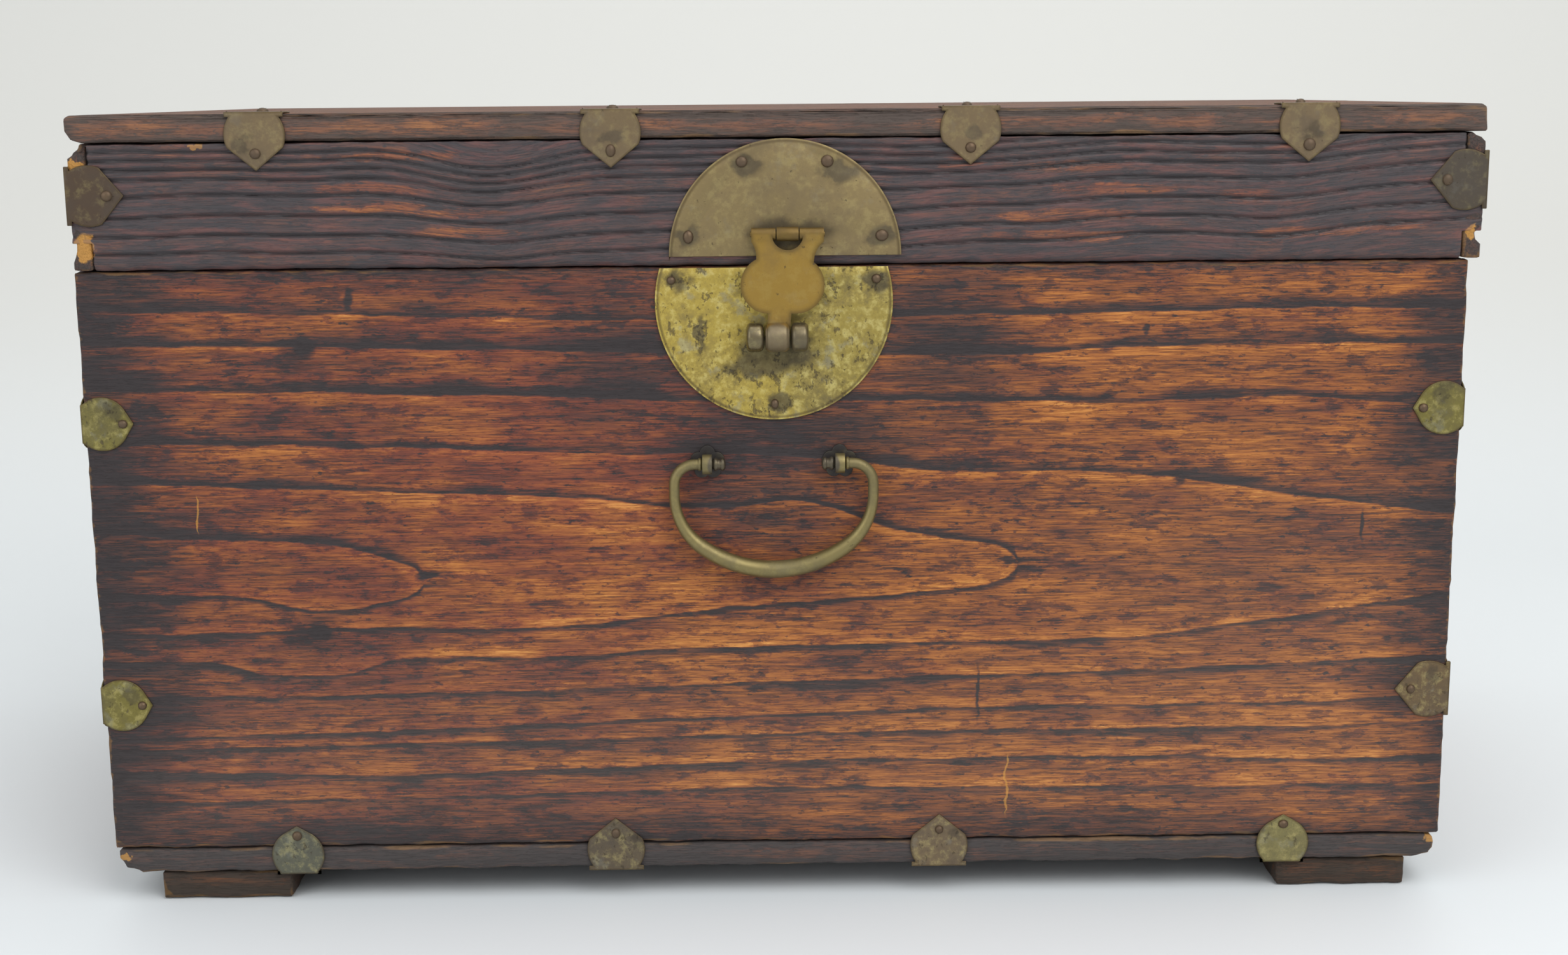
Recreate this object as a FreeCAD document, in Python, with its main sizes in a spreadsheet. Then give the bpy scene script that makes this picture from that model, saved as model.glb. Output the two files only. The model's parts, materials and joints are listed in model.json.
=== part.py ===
# A lidded wooden chest with brass mounts.
# Millimetres. X runs to the right, Y to the back, Z up. The origin is on the floor,
# under the middle of the whole chest.
import FreeCAD, Part
import Sketcher
import math
import os
import re

Vector = FreeCAD.Vector
Rotation = FreeCAD.Rotation
Placement = FreeCAD.Placement
Constraint = Sketcher.Constraint

doc = FreeCAD.newDocument("lidded_chest")

# Every size that can be set by itself.
SIZES = {
    # the box: four boards standing on a bottom board, with two battens for feet
    "box_width": 700,
    "box_depth": 370,
    "wall_height": 304,
    "wall_thickness": 11,
    "rabbet_depth": 4,
    "bottom_shortfall": 4,
    "bottom_thickness": 13.5,
    "foot_height": 16,
    "foot_width": 69.5,
    "foot_setback": 3,
    "left_foot_inset": 22.8,
    "right_foot_inset": 16.4,
    # the lid: a finger-jointed frame under its own top board
    "lid_excess": 4,
    "lid_overhang": 2,
    "lid_shift": 3,
    "lid_frame_height": 63,
    "lid_wall": 10.5,
    "lid_board": 14,
    "finger_height": 14,
    # worn edges
    "rim_round": 1.5,
    "lid_board_round": 2.5,
    "bottom_round": 3,
    "foot_chamfer": 1.5,
    # bent sheet straps
    "strap_sheet": 0.9,
    "pointed_radius": 15.2,
    "pointed_centre": 10.5,
    "pointed_shoulder": 16.5,
    "pointed_reach": 28,
    "pointed_nail": 19.5,
    "pointed_band": 29,
    "band_lip": 1.6,
    "round_radius": 13.8,
    "round_centre": 9.6,
    "round_shoulder": 22,
    "round_reach": 25.6,
    "round_nail": 20.2,
    "base_tab_width": 22,
    "base_tab_depth": 13,
    # where the straps sit along the lid's front and the foot edge: the outer ones are
    # measured from the box's sides, the inner ones from its middle
    "lid_strap_left": 95,
    "lid_strap_mid_left": 80,
    "lid_strap_mid_right": 98,
    "lid_strap_right": 84,
    "base_strap_left": 96.5,
    "base_strap_mid_left": 86,
    "base_strap_mid_right": 84.5,
    "base_strap_right": 83.5,
    # heights: the lid's and the upper ones from the rim, the lower ones from the bottom board
    "lid_corner_left": 37.5,
    "lid_corner_right": 39.5,
    "left_strap_upper": 77,
    "left_strap_lower": 79,
    "right_strap_upper": 75.5,
    "right_strap_lower": 80,
    "back_strap_upper": 76.5,
    "back_strap_lower": 79.5,
    # square-shanked nails with facetted heads
    "nail_head": 4.6,
    "nail_head_height": 1.9,
    "nail_head_taper": 24,
    "nail_shank": 2.2,
    "nail_length": 9,
    # the lock plate in its two halves
    "lock_sheet": 1.2,
    "lid_plate_shift": 5.8,
    "lid_plate_radius": 58,
    "lid_plate_lift": 4.9,
    "box_plate_radius": 59.7,
    "box_plate_drop": 77,
    "box_plate_gap": 0.9,
    # nails of the lock plate, from its own middle and from the rim
    "lid_nail_top_x": 21.2,
    "lid_nail_top_z": 51.5,
    "lid_nail_low_x": 48.2,
    "lid_nail_low_z": 14.7,
    "box_nail_top_x": 51.4,
    "box_nail_top_z": 7,
    "box_nail_low_z": 70,
    # the hasp, hanging from an eye on the lid plate
    "hasp_shift": 7,
    "hasp_eye_lift": 16,
    "hasp_eye_radius": 3.5,
    "hasp_eye_length": 10.8,
    "hasp_pin_radius": 1.4,
    "hasp_pin_fit": 0.05,
    "hasp_pin_proud": 0.5,
    "hasp_sheet": 1.6,
    "hasp_roll_radius": 3.1,
    "hasp_ear_half": 18,
    "hasp_ear_drop": 3.6,
    "hasp_ear_gap": 0.6,
    "hasp_eye_notch": 7.8,
    "hasp_waist_half": 14.4,
    "hasp_waist_drop": 13.6,
    "hasp_waist_radius": 13,
    "hasp_belly_radius": 14.3,
    "hasp_belly_half": 20.9,
    "hasp_belly_drop": 25,
    "hasp_neck_width": 11.6,
    "hasp_lean": 0.107,
    "barrel_drop": 51.2,
    "barrel_radius": 7.3,
    "barrel_bore": 3.6,
    "barrel_length": 11.8,
    "staple_length": 8.6,
    "barrel_gap": 1,
    "plate_clearance": 0.3,
    "tang_height": 3.6,
    "clinch_reach": 7,
    "clinch_sheet": 1.4,
    # the drop handle
    "handle_shift": -1,
    "handle_drop": 99.7,
    "post_half_spread": 33.6,
    "post_eye_radius": 5,
    "post_eye_length": 4.8,
    "post_shank": 3.4,
    "rosette_sheet": 1.8,
    "rosette_middle": 5.2,
    "petal_radius": 3.9,
    "petal_centre": 4.9,
    "bail_end_radius": 2.4,
    "bail_fit": 0.05,
    "bail_shoulder_section": 2.6,
    "bail_side_section": 2.8,
    "bail_grip_section": 4.5,
    "bail_half_width": 50.5,
    "bail_drop": 54.8,
    "bail_shoulder_radius": 10.5,
    "bail_side_run": 5.5,
    "bail_corner_radius": 33.2,
    "knob_gap": 0.5,
    "collar_length": 1.6,
    "collar_radius": 3.3,
    "knob_length": 6.4,
    "knob_ridge": 3.3,
    "knob_waist": 2.6,
    "knob_ridge_length": 1.5,
    # two hinges at the back
    "hinge_spread": 430,
    "hinge_sheet": 1.2,
    "hinge_width": 30,
    "hinge_shoulder": 28,
    "hinge_reach": 40,
    "hinge_nail_x": 9,
    "hinge_nail_near": 11,
    "hinge_nail_far": 31,
    "knuckle_radius": 3.3,
    "knuckle_middle": 10,
    "knuckle_gap": 0.4,
    "knuckle_clear": 0.3,
    "leaf_clear": 4.2,
    "hinge_pin_radius": 1.5,
    "hinge_pin_fit": 0.05,
}

# Sizes that follow from the ones above.
DERIVED = {
    "floor": "foot_height + bottom_thickness",
    "rim": "floor + wall_height",
    "lid_seat": "rim + lid_frame_height",
    "lid_top": "lid_seat + lid_board",
    "lid_depth": "box_depth + lid_overhang",
    "lid_width": "box_width + lid_excess",
    "bottom_width": "box_width - bottom_shortfall",
    # the lid is shifted and overhangs in front, the origin stays under the middle
    "box_x": "0 - lid_shift / 2",
    "hinge_stand": "knuckle_radius + knuckle_clear",
    "hinge_proud": "hinge_stand + knuckle_radius",
    "barrel_stand": "lock_sheet + plate_clearance + barrel_radius",
    "front_proud": "barrel_stand + barrel_radius",
    "front": "(front_proud - hinge_proud - box_depth) / 2",
    "back": "front + box_depth",
    "left": "box_x - box_width / 2",
    "right": "box_x + box_width / 2",
    "lid_left": "box_x + lid_shift - lid_width / 2",
    "lid_right": "box_x + lid_shift + lid_width / 2",
    "lid_front": "front - lid_overhang",
    # the hasp's hinge line, measured outwards from the lid's front
    "eye_stand": "lock_sheet + plate_clearance + hasp_eye_radius",
    "hasp_x": "box_x + hasp_shift",
    "hasp_y": "lid_front - eye_stand",
    "hasp_z": "rim + hasp_eye_lift",
    "barrel_x": "hasp_x - hasp_lean * barrel_drop",
    "barrel_y": "front - barrel_stand",
    "barrel_z": "hasp_z - barrel_drop",
    "staple_step": "barrel_length / 2 + barrel_gap + staple_length / 2",
    "pin_length": "2 * (hasp_ear_half + hasp_pin_proud)",
    "handle_x": "box_x + handle_shift",
    "handle_z": "rim - handle_drop",
    "post_stand": "rosette_sheet + plate_clearance + post_eye_radius",
    "handle_y": "front - post_stand",
    "knob_end": "post_half_spread - post_eye_length / 2 - knob_gap",
    "bail_neck": "post_half_spread + post_eye_length / 2 + knob_gap + collar_length / 2",
    "knuckle_side": "(hinge_width - knuckle_middle - 2 * knuckle_gap) / 2",
    "lock_x": "box_x",
    "lid_plate_x": "box_x + lid_plate_shift",
    "box_plate_z": "rim - box_plate_drop + box_plate_radius - box_plate_gap",
}

sheet = doc.addObject("Spreadsheet::Sheet", "Sizes")
for row, (name, number) in enumerate(SIZES.items(), start=1):
    sheet.set(f"A{row}", name)
    sheet.set(f"B{row}", str(number))
    sheet.setAlias(f"B{row}", name)
doc.recompute()


def ex(text):
    """Write a formula in the sheet's names as a FreeCAD expression."""
    def swap(found):
        word = found.group(0)
        if word in DERIVED:
            return "(" + ex(DERIVED[word]) + ")"
        if word in SIZES:
            return "Sizes." + word
        return word
    return re.sub(r"[a-z_][a-z0-9_]*", swap, str(text))


def num(text):
    """The value of a formula, read from the sheet."""
    return float(sheet.evalExpression(ex(text)))


# Helpers for sketches and features.
def new_body(label):
    body = doc.addObject("PartDesign::Body", label)
    body.Label = label
    return body


def sketch_on(body, role, name, offset="0", turn=0):
    """A sketch on one of the body's own origin planes, offset along its normal."""
    sketch = body.newObject("Sketcher::SketchObject", name)
    plane = next(item for item in body.Origin.OriginFeatures if item.Role == role)
    sketch.AttachmentSupport = [(plane, "")]
    sketch.MapMode = "FlatFace"
    sketch.AttachmentOffset = Placement(Vector(), Rotation(Vector(0, 0, 1), turn))
    sketch.setExpression(".AttachmentOffset.Base.z", ex(offset))
    return sketch


def measure(sketch, kind, formula, *where):
    """A driving constraint whose value comes from the sheet."""
    index = sketch.addConstraint(Constraint(kind, *where, num(formula)))
    sketch.setExpression(f"Constraints[{index}]", ex(formula))


def polygon(sketch, corners):
    """A closed outline whose corners are each placed by two formulas."""
    points = [Vector(num(x), num(y), 0) for x, y in corners]
    lines = []
    for index, point in enumerate(points):
        following = points[(index + 1) % len(points)]
        lines.append(sketch.addGeometry(Part.LineSegment(point, following)))
    for index, line in enumerate(lines):
        following = lines[(index + 1) % len(lines)]
        sketch.addConstraint(Constraint("Coincident", line, 2, following, 1))
    for line, (x, y) in zip(lines, corners):
        measure(sketch, "DistanceX", x, -1, 1, line, 1)
        measure(sketch, "DistanceY", y, -1, 1, line, 1)


def rectangle(sketch, x, y, width, height):
    """An upright rectangle from its lower left corner."""
    polygon(sketch, [
        (x, y),
        (f"({x}) + ({width})", y),
        (f"({x}) + ({width})", f"({y}) + ({height})"),
        (x, f"({y}) + ({height})"),
    ])


def circle(sketch, x, y, radius):
    round_line = sketch.addGeometry(
        Part.Circle(Vector(num(x), num(y), 0), Vector(0, 0, 1), num(radius)))
    measure(sketch, "Radius", radius, round_line)
    measure(sketch, "DistanceX", x, -1, 1, round_line, 3)
    measure(sketch, "DistanceY", y, -1, 1, round_line, 3)


def pad(body, sketch, length, back=False):
    feature = body.newObject("PartDesign::Pad", sketch.Name + "_pad")
    feature.Profile = sketch
    feature.Reversed = back
    feature.setExpression("Length", ex(length))
    return feature


def pocket(body, sketch, length, back=False):
    """Cut a sketch away and make sure that something was cut."""
    doc.recompute()
    before = body.Shape.Volume
    feature = body.newObject("PartDesign::Pocket", sketch.Name + "_pocket")
    feature.Profile = sketch
    feature.Reversed = back
    feature.setExpression("Length", ex(length))
    doc.recompute()
    if body.Shape.Volume >= before:
        raise ValueError(sketch.Name + " cuts nothing")
    return feature


def ease_edges(body, kind, size, test):
    """Round or chamfer the edges of the body that pass a test."""
    doc.recompute()
    chosen = []
    for index, edge in enumerate(body.Shape.Edges, start=1):
        if test(edge.CenterOfMass, edge):
            chosen.append(f"Edge{index}")
    base = body.Tip
    feature = body.newObject("PartDesign::" + kind, body.Name + "_" + kind.lower())
    feature.Base = (base, chosen)
    feature.setExpression("Radius" if kind == "Fillet" else "Size", ex(size))
    doc.recompute()
    return feature


def put(obj, x, y, z, rotation=None):
    """Place a sub-part by formulas, with a fixed turn."""
    obj.Placement = Placement(Vector(num(x), num(y), num(z)), rotation or Rotation())
    obj.setExpression(".Placement.Base.x", ex(x))
    obj.setExpression(".Placement.Base.y", ex(y))
    obj.setExpression(".Placement.Base.z", ex(z))
    return obj


def group(label, members):
    bundle = doc.addObject("Part::Compound", label)
    bundle.Label = label
    bundle.Links = members
    return bundle


def cut_by(label, blank, tools):
    """A sub-part with the seats of the metal that passes through it."""
    result = doc.addObject("Part::Cut", label)
    result.Label = label
    result.Base = blank
    result.Tool = tools[0] if len(tools) == 1 else group(label + "_seats", tools)
    return result


def turned(axis, angle):
    return Rotation(Vector(*axis), angle)


parts = []

# The nails.
nail = new_body("nail")
head_sketch = sketch_on(nail, "XY_Plane", "nail_head_outline")
rectangle(head_sketch, "0 - nail_head / 2", "0 - nail_head / 2", "nail_head", "nail_head")
head = pad(nail, head_sketch, "nail_head_height")
head.setExpression("TaperAngle", ex("0 - nail_head_taper"))
shank_sketch = sketch_on(nail, "XY_Plane", "nail_shank_outline")
rectangle(shank_sketch, "0 - nail_shank / 2", "0 - nail_shank / 2", "nail_shank", "nail_shank")
pad(nail, shank_sketch, "nail_length", back=True)

FORWARD = turned((1, 0, 0), 90)
BACKWARD = turned((1, 0, 0), -90)
nail_count = 0


def drive_nail(placement):
    """One nail: its head's underside is at the placement and its head points to local +Z."""
    global nail_count
    nail_count += 1
    copy = doc.addObject("App::Link", f"nail_{nail_count}")
    copy.LinkedObject = nail
    copy.Placement = placement
    return copy


# The straps.
# A strap is drawn on an edge that runs along X: one leaf hangs down the front (-Y) face,
# the other lies on the top (+Z) face, and the bend joins them outside the edge.
LEAF = {
    "pointed": ("pointed_radius", "pointed_centre", "pointed_shoulder", "pointed_reach"),
    "round": ("round_radius", "round_centre", "round_shoulder", "round_reach"),
}


def leaf_outline(sketch, kind):
    """A disc cut off by the bend, drawn out to a point: two arcs and three lines."""
    radius, centre, shoulder, reach = LEAF[kind]
    r, c, f, tip = num(radius), num(centre), num(shoulder), num(reach)
    half_chord = math.sqrt(r * r - c * c)
    half_shoulder = math.sqrt(r * r - (f - c) ** 2)
    disc = Part.Circle(Vector(0, c, 0), Vector(0, 0, 1), r)
    flank = math.atan2(f - c, half_shoulder)
    chord = math.atan2(-c, half_chord)
    left_arc = sketch.addGeometry(
        Part.ArcOfCircle(disc, math.pi - flank, math.pi - chord))
    right_arc = sketch.addGeometry(Part.ArcOfCircle(disc, chord, flank))
    left_flank = sketch.addGeometry(
        Part.LineSegment(Vector(-half_shoulder, f, 0), Vector(0, tip, 0)))
    right_flank = sketch.addGeometry(
        Part.LineSegment(Vector(0, tip, 0), Vector(half_shoulder, f, 0)))
    bend = sketch.addGeometry(
        Part.LineSegment(Vector(-half_chord, 0, 0), Vector(half_chord, 0, 0)))
    sketch.addConstraint([
        Constraint("Coincident", left_arc, 3, right_arc, 3),
        Constraint("Equal", left_arc, right_arc),
        Constraint("PointOnObject", left_arc, 3, -2),
        Constraint("Coincident", left_arc, 1, left_flank, 1),
        Constraint("Coincident", left_flank, 2, right_flank, 1),
        Constraint("Coincident", right_flank, 2, right_arc, 2),
        Constraint("Coincident", left_arc, 2, bend, 1),
        Constraint("Coincident", bend, 2, right_arc, 1),
        Constraint("PointOnObject", bend, 1, -1),
        Constraint("PointOnObject", bend, 2, -1),
        Constraint("PointOnObject", left_flank, 2, -2),
    ])
    measure(sketch, "Radius", radius, left_arc)
    measure(sketch, "DistanceY", centre, -1, 1, left_arc, 3)
    measure(sketch, "DistanceY", shoulder, -1, 1, left_flank, 1)
    measure(sketch, "DistanceY", shoulder, -1, 1, right_flank, 2)
    measure(sketch, "DistanceY", reach, -1, 1, left_flank, 2)


def strap(label, kind, x, y, z, rotation, base=False):
    """A bent strap and the nails that hold it. Returns the strap and the nails."""
    body = new_body(label)
    band = "pointed_band" if kind == "pointed" else "2 * sqrt(round_radius^2 - round_centre^2)"
    lip = "band_lip" if kind == "pointed" else "0"
    nail_at = kind + "_nail"
    front = sketch_on(body, "XZ_Plane", label + "_front", turn=180)
    leaf_outline(front, kind)
    pad(body, front, "strap_sheet")
    # the bend stands outside both faces of the board
    bend = sketch_on(body, "XZ_Plane", label + "_bend")
    rectangle(bend, f"0 - ({band}) / 2", f"0 - {lip}", band, f"strap_sheet + {lip}")
    pad(body, bend, "strap_sheet")
    top = sketch_on(body, "XY_Plane", label + "_top")
    if base:
        rectangle(top, "0 - base_tab_width / 2", "0", "base_tab_width", "base_tab_depth")
        pad(body, top, "strap_sheet")
    else:
        leaf_outline(top, kind)
        pad(body, top, "strap_sheet")
        if kind == "pointed":
            over = sketch_on(body, "XY_Plane", label + "_over")
            rectangle(over, f"0 - ({band}) / 2", "0", band, lip)
            pad(body, over, "strap_sheet")
    hole = sketch_on(body, "XZ_Plane", label + "_front_hole")
    rectangle(hole, "0 - nail_shank / 2", f"0 - {nail_at} - nail_shank / 2",
              "nail_shank", "nail_shank")
    pocket(body, hole, "strap_sheet", back=True)
    spots = [Placement(Vector(0, -num("strap_sheet"), -num(nail_at)), FORWARD)]
    if not base:
        hole = sketch_on(body, "XY_Plane", label + "_top_hole")
        rectangle(hole, "0 - nail_shank / 2", f"{nail_at} - nail_shank / 2",
                  "nail_shank", "nail_shank")
        pocket(body, hole, "strap_sheet", back=True)
        spots.append(Placement(Vector(0, num(nail_at), num("strap_sheet")), Rotation()))
    put(body, x, y, z, rotation)
    return body, [drive_nail(body.Placement.multiply(spot)) for spot in spots]


OVER_TOP = Rotation()
UNDER_FOOT_EDGE = turned((0, 1, 0), 180)
ROUND_LEFT = turned((0, 1, 0), -90)
ROUND_RIGHT = turned((0, 1, 0), 90)
HALF_TURN = turned((0, 0, 1), 180)
ROUND_BACK_LEFT = HALF_TURN.multiply(ROUND_RIGHT)
ROUND_BACK_RIGHT = HALF_TURN.multiply(ROUND_LEFT)

straps = {name: [] for name in (
    "lid_edge_straps", "lid_corner_straps", "lid_back_straps",
    "box_corner_straps", "box_back_straps", "base_straps")}
lid_strap_nails, box_strap_nails = [], []
# where each strap of a row stands, by the name of its own size
AT = {"left": "left + {}_strap_left", "mid_left": "box_x - {}_strap_mid_left",
      "mid_right": "box_x + {}_strap_mid_right", "right": "right - {}_strap_right"}
for spot, x in AT.items():
    body, nails = strap(f"lid_edge_strap_{spot}", "pointed", x.format("lid"),
                        "lid_front", "lid_top", OVER_TOP)
    straps["lid_edge_straps"].append(body)
    lid_strap_nails += nails
for side, front_turn, back_turn in (("left", ROUND_LEFT, ROUND_BACK_LEFT),
                                    ("right", ROUND_RIGHT, ROUND_BACK_RIGHT)):
    height = f"rim + lid_corner_{side}"
    body, nails = strap(f"lid_corner_strap_{side}", "pointed",
                        f"lid_{side}", "lid_front", height, front_turn)
    straps["lid_corner_straps"].append(body)
    lid_strap_nails += nails
    body, nails = strap(f"lid_back_strap_{side}", "pointed",
                        f"lid_{side}", "back", height, back_turn)
    straps["lid_back_straps"].append(body)
    lid_strap_nails += nails
    for level, height in (("upper", "rim - {}_strap_upper"), ("lower", "floor + {}_strap_lower")):
        kind = "pointed" if (side, level) == ("right", "lower") else "round"
        body, nails = strap(f"box_corner_strap_{side}_{level}", kind,
                            side, "front", height.format(side), front_turn)
        straps["box_corner_straps"].append(body)
        box_strap_nails += nails
        body, nails = strap(f"box_back_strap_{side}_{level}", "round",
                            side, "back", height.format("back"), back_turn)
        straps["box_back_straps"].append(body)
        box_strap_nails += nails
for spot, x in AT.items():
    kind = "pointed" if spot.startswith("mid") else "round"
    body, nails = strap(f"base_strap_{spot}", kind, x.format("base"),
                        "front", "foot_height", UNDER_FOOT_EDGE, base=True)
    straps["base_straps"].append(body)
    box_strap_nails += nails
for name, members in straps.items():
    parts.append(group(name, members))
parts.append(group("lid_strap_nails", lid_strap_nails))
parts.append(group("box_strap_nails", box_strap_nails))

# The lock plate.
lid_plate_nails = []
for x, z in (("0 - lid_nail_top_x", "lid_nail_top_z"), ("lid_nail_top_x", "lid_nail_top_z"),
             ("0 - lid_nail_low_x", "lid_nail_low_z"), ("lid_nail_low_x", "lid_nail_low_z")):
    spot = Vector(num("lid_plate_x") + num(x), num("lid_front - lock_sheet"),
                  num("rim") + num(z))
    lid_plate_nails.append(drive_nail(Placement(spot, FORWARD)))
box_plate_nails = []
for x, z in (("0 - box_nail_top_x", "box_nail_top_z"), ("box_nail_top_x", "box_nail_top_z"),
             ("0", "box_nail_low_z")):
    spot = Vector(num("lock_x") + num(x), num("front - lock_sheet"), num("rim") - num(z))
    box_plate_nails.append(drive_nail(Placement(spot, FORWARD)))
parts.append(group("lid_plate_nails", lid_plate_nails))
parts.append(group("box_plate_nails", box_plate_nails))


def round_plate(label, radius, x, z, cut_low, cut_high):
    """A round plate whose middle is at (x, z), cut straight below or above."""
    body = new_body(label)
    outline = sketch_on(body, "XZ_Plane", label + "_outline")
    circle(outline, "0", "0", radius)
    pad(body, outline, "lock_sheet")
    straight = sketch_on(body, "XZ_Plane", label + "_straight")
    if cut_low is not None:
        rectangle(straight, f"0 - 2 * {radius}", f"{cut_low} - 4 * {radius}",
                  f"4 * {radius}", f"4 * {radius}")
    else:
        rectangle(straight, f"0 - 2 * {radius}", cut_high, f"4 * {radius}", f"4 * {radius}")
    pocket(body, straight, "lock_sheet", back=True)
    put(body, x, "lid_front" if cut_low is not None else "front", z)
    return body


lid_plate_blank = round_plate("lid_lock_plate_blank", "lid_plate_radius", "lid_plate_x",
                              "rim + lid_plate_lift", "0", None)
box_plate_blank = round_plate("box_lock_plate_blank", "box_plate_radius", "lock_x",
                              "box_plate_z", None, "(rim - box_plate_gap - box_plate_z)")


def clinch(body, label, half_width, depth):
    """The two ends of a shank, spread flat against the inside of the board."""
    ends = sketch_on(body, "XZ_Plane", label + "_clinch", offset=f"0 - ({depth})")
    rectangle(ends, f"0 - ({half_width})", "0 - clinch_reach", f"2 * ({half_width})",
              "2 * clinch_reach")
    pad(body, ends, "clinch_sheet", back=True)


def barrel_on_tang(label, radius, bore, length, width, height, depth):
    """A tube along X with a flat tang that runs back through plate and board."""
    body = new_body(label)
    tube = sketch_on(body, "YZ_Plane", label + "_tube", offset=f"0 - ({length}) / 2")
    circle(tube, "0", "0", radius)
    pad(body, tube, length)
    start = f"(({radius}) + ({bore})) / 2"
    tang = sketch_on(body, "XZ_Plane", label + "_tang", offset=f"0 - {start}")
    rectangle(tang, f"0 - ({width}) / 2", f"0 - ({height}) / 2", width, height)
    pad(body, tang, f"({depth}) - {start}", back=True)
    clinch(body, label, f"({width}) / 2", depth)
    hole = sketch_on(body, "YZ_Plane", label + "_bore", offset=f"0 - ({length})")
    circle(hole, "0", "0", bore)
    pocket(body, hole, f"2 * ({length})", back=True)
    return body


hasp_eye = barrel_on_tang("hasp_eye", "hasp_eye_radius", "(hasp_pin_radius + hasp_pin_fit)",
                          "hasp_eye_length", "hasp_eye_length / 2", "tang_height",
                          "eye_stand + lid_wall")
put(hasp_eye, "hasp_x", "hasp_y", "hasp_z")
staples = []
for side, step in (("left", "0 - staple_step"), ("right", "staple_step")):
    staple = barrel_on_tang(f"lock_staple_{side}", "barrel_radius", "barrel_bore",
                            "staple_length", "staple_length", "tang_height",
                            "barrel_stand + wall_thickness")
    put(staple, f"barrel_x + {step}", "barrel_y", "barrel_z")
    staples.append(staple)
parts.append(hasp_eye)
parts += staples

# The hasp.
# Drawn around its hinge line. It leans to the left as it goes down.
hasp = new_body("hasp")
sheet_back = "hasp_roll_radius - hasp_sheet"
ears = sketch_on(hasp, "XZ_Plane", "hasp_ears", offset=sheet_back)
waist_x = "hasp_lean * hasp_waist_drop"
outline = [
    ("0 - hasp_ear_half", "0 - hasp_ear_drop"),
    (f"0 - hasp_waist_half - {waist_x}", "0 - hasp_waist_drop"),
    (f"hasp_waist_half - {waist_x}", "0 - hasp_waist_drop"),
    ("hasp_ear_half", "0 - hasp_ear_drop"),
    ("hasp_ear_half", "0"),
    ("0 - hasp_ear_half", "0"),
]
corner = [Vector(num(x), num(z), 0) for x, z in outline]


def hollow_arc(start, end, radius, side):
    """An arc between two corners whose centre lies outside the outline."""
    middle = (start + end) * 0.5
    half = (end - start).Length / 2
    across = Vector(start.y - end.y, end.x - start.x, 0).normalize()
    if across.x * side < 0:
        across = across * -1
    centre = middle + across * math.sqrt(radius * radius - half * half)
    angles = [math.atan2(point.y - centre.y, point.x - centre.x) for point in (start, end)]
    if side > 0:
        angles = [angle % (2 * math.pi) for angle in angles]
    low, high = sorted(angles)
    return Part.ArcOfCircle(Part.Circle(centre, Vector(0, 0, 1), radius), low, high)


waist_radius = num("hasp_waist_radius")
left_waist = ears.addGeometry(hollow_arc(corner[0], corner[1], waist_radius, -1))
low_edge = ears.addGeometry(Part.LineSegment(corner[1], corner[2]))
right_waist = ears.addGeometry(hollow_arc(corner[2], corner[3], waist_radius, 1))
right_edge = ears.addGeometry(Part.LineSegment(corner[3], corner[4]))
top_edge = ears.addGeometry(Part.LineSegment(corner[4], corner[5]))
left_edge = ears.addGeometry(Part.LineSegment(corner[5], corner[0]))


def arc_end(sketch, arc, point):
    """Which end of an arc lies at a point: 1 for its start, 2 for its end."""
    curve = sketch.Geometry[arc]
    return 1 if (curve.StartPoint - point).Length < (curve.EndPoint - point).Length else 2


ears.addConstraint([
    Constraint("Coincident", left_edge, 2, left_waist, arc_end(ears, left_waist, corner[0])),
    Constraint("Coincident", low_edge, 1, left_waist, arc_end(ears, left_waist, corner[1])),
    Constraint("Coincident", low_edge, 2, right_waist, arc_end(ears, right_waist, corner[2])),
    Constraint("Coincident", right_edge, 1, right_waist, arc_end(ears, right_waist, corner[3])),
    Constraint("Coincident", right_edge, 2, top_edge, 1),
    Constraint("Coincident", top_edge, 2, left_edge, 1),
])
for line, end, (x, z) in ((left_edge, 2, outline[0]), (low_edge, 1, outline[1]),
                          (low_edge, 2, outline[2]), (right_edge, 1, outline[3]),
                          (right_edge, 2, outline[4]), (top_edge, 2, outline[5])):
    measure(ears, "DistanceX", x, -1, 1, line, end)
    measure(ears, "DistanceY", z, -1, 1, line, end)
measure(ears, "Radius", "hasp_waist_radius", left_waist)
measure(ears, "Radius", "hasp_waist_radius", right_waist)
pad(hasp, ears, "hasp_sheet")
notch = sketch_on(hasp, "XZ_Plane", "hasp_notch", offset=sheet_back)
circle(notch, "0", "0", "hasp_eye_notch")
pocket(hasp, notch, "hasp_sheet", back=True)

# the belly: two discs side by side, joined across
for side in (-1, 1):
    half_belly = sketch_on(hasp, "XZ_Plane", "hasp_belly_" + ("left" if side < 0 else "right"),
                           offset=sheet_back)
    circle(half_belly, f"{side} * (hasp_belly_half - hasp_belly_radius) "
                       "- hasp_lean * hasp_belly_drop", "0 - hasp_belly_drop",
           "hasp_belly_radius")
    pad(hasp, half_belly, "hasp_sheet")
belly = sketch_on(hasp, "XZ_Plane", "hasp_belly", offset=sheet_back)
rectangle(belly, "hasp_belly_radius - hasp_belly_half - hasp_lean * hasp_belly_drop",
          "0 - hasp_belly_drop - hasp_belly_radius",
          "2 * (hasp_belly_half - hasp_belly_radius)", "2 * hasp_belly_radius")
pad(hasp, belly, "hasp_sheet")
neck = sketch_on(hasp, "XZ_Plane", "hasp_neck", offset=sheet_back)
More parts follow.
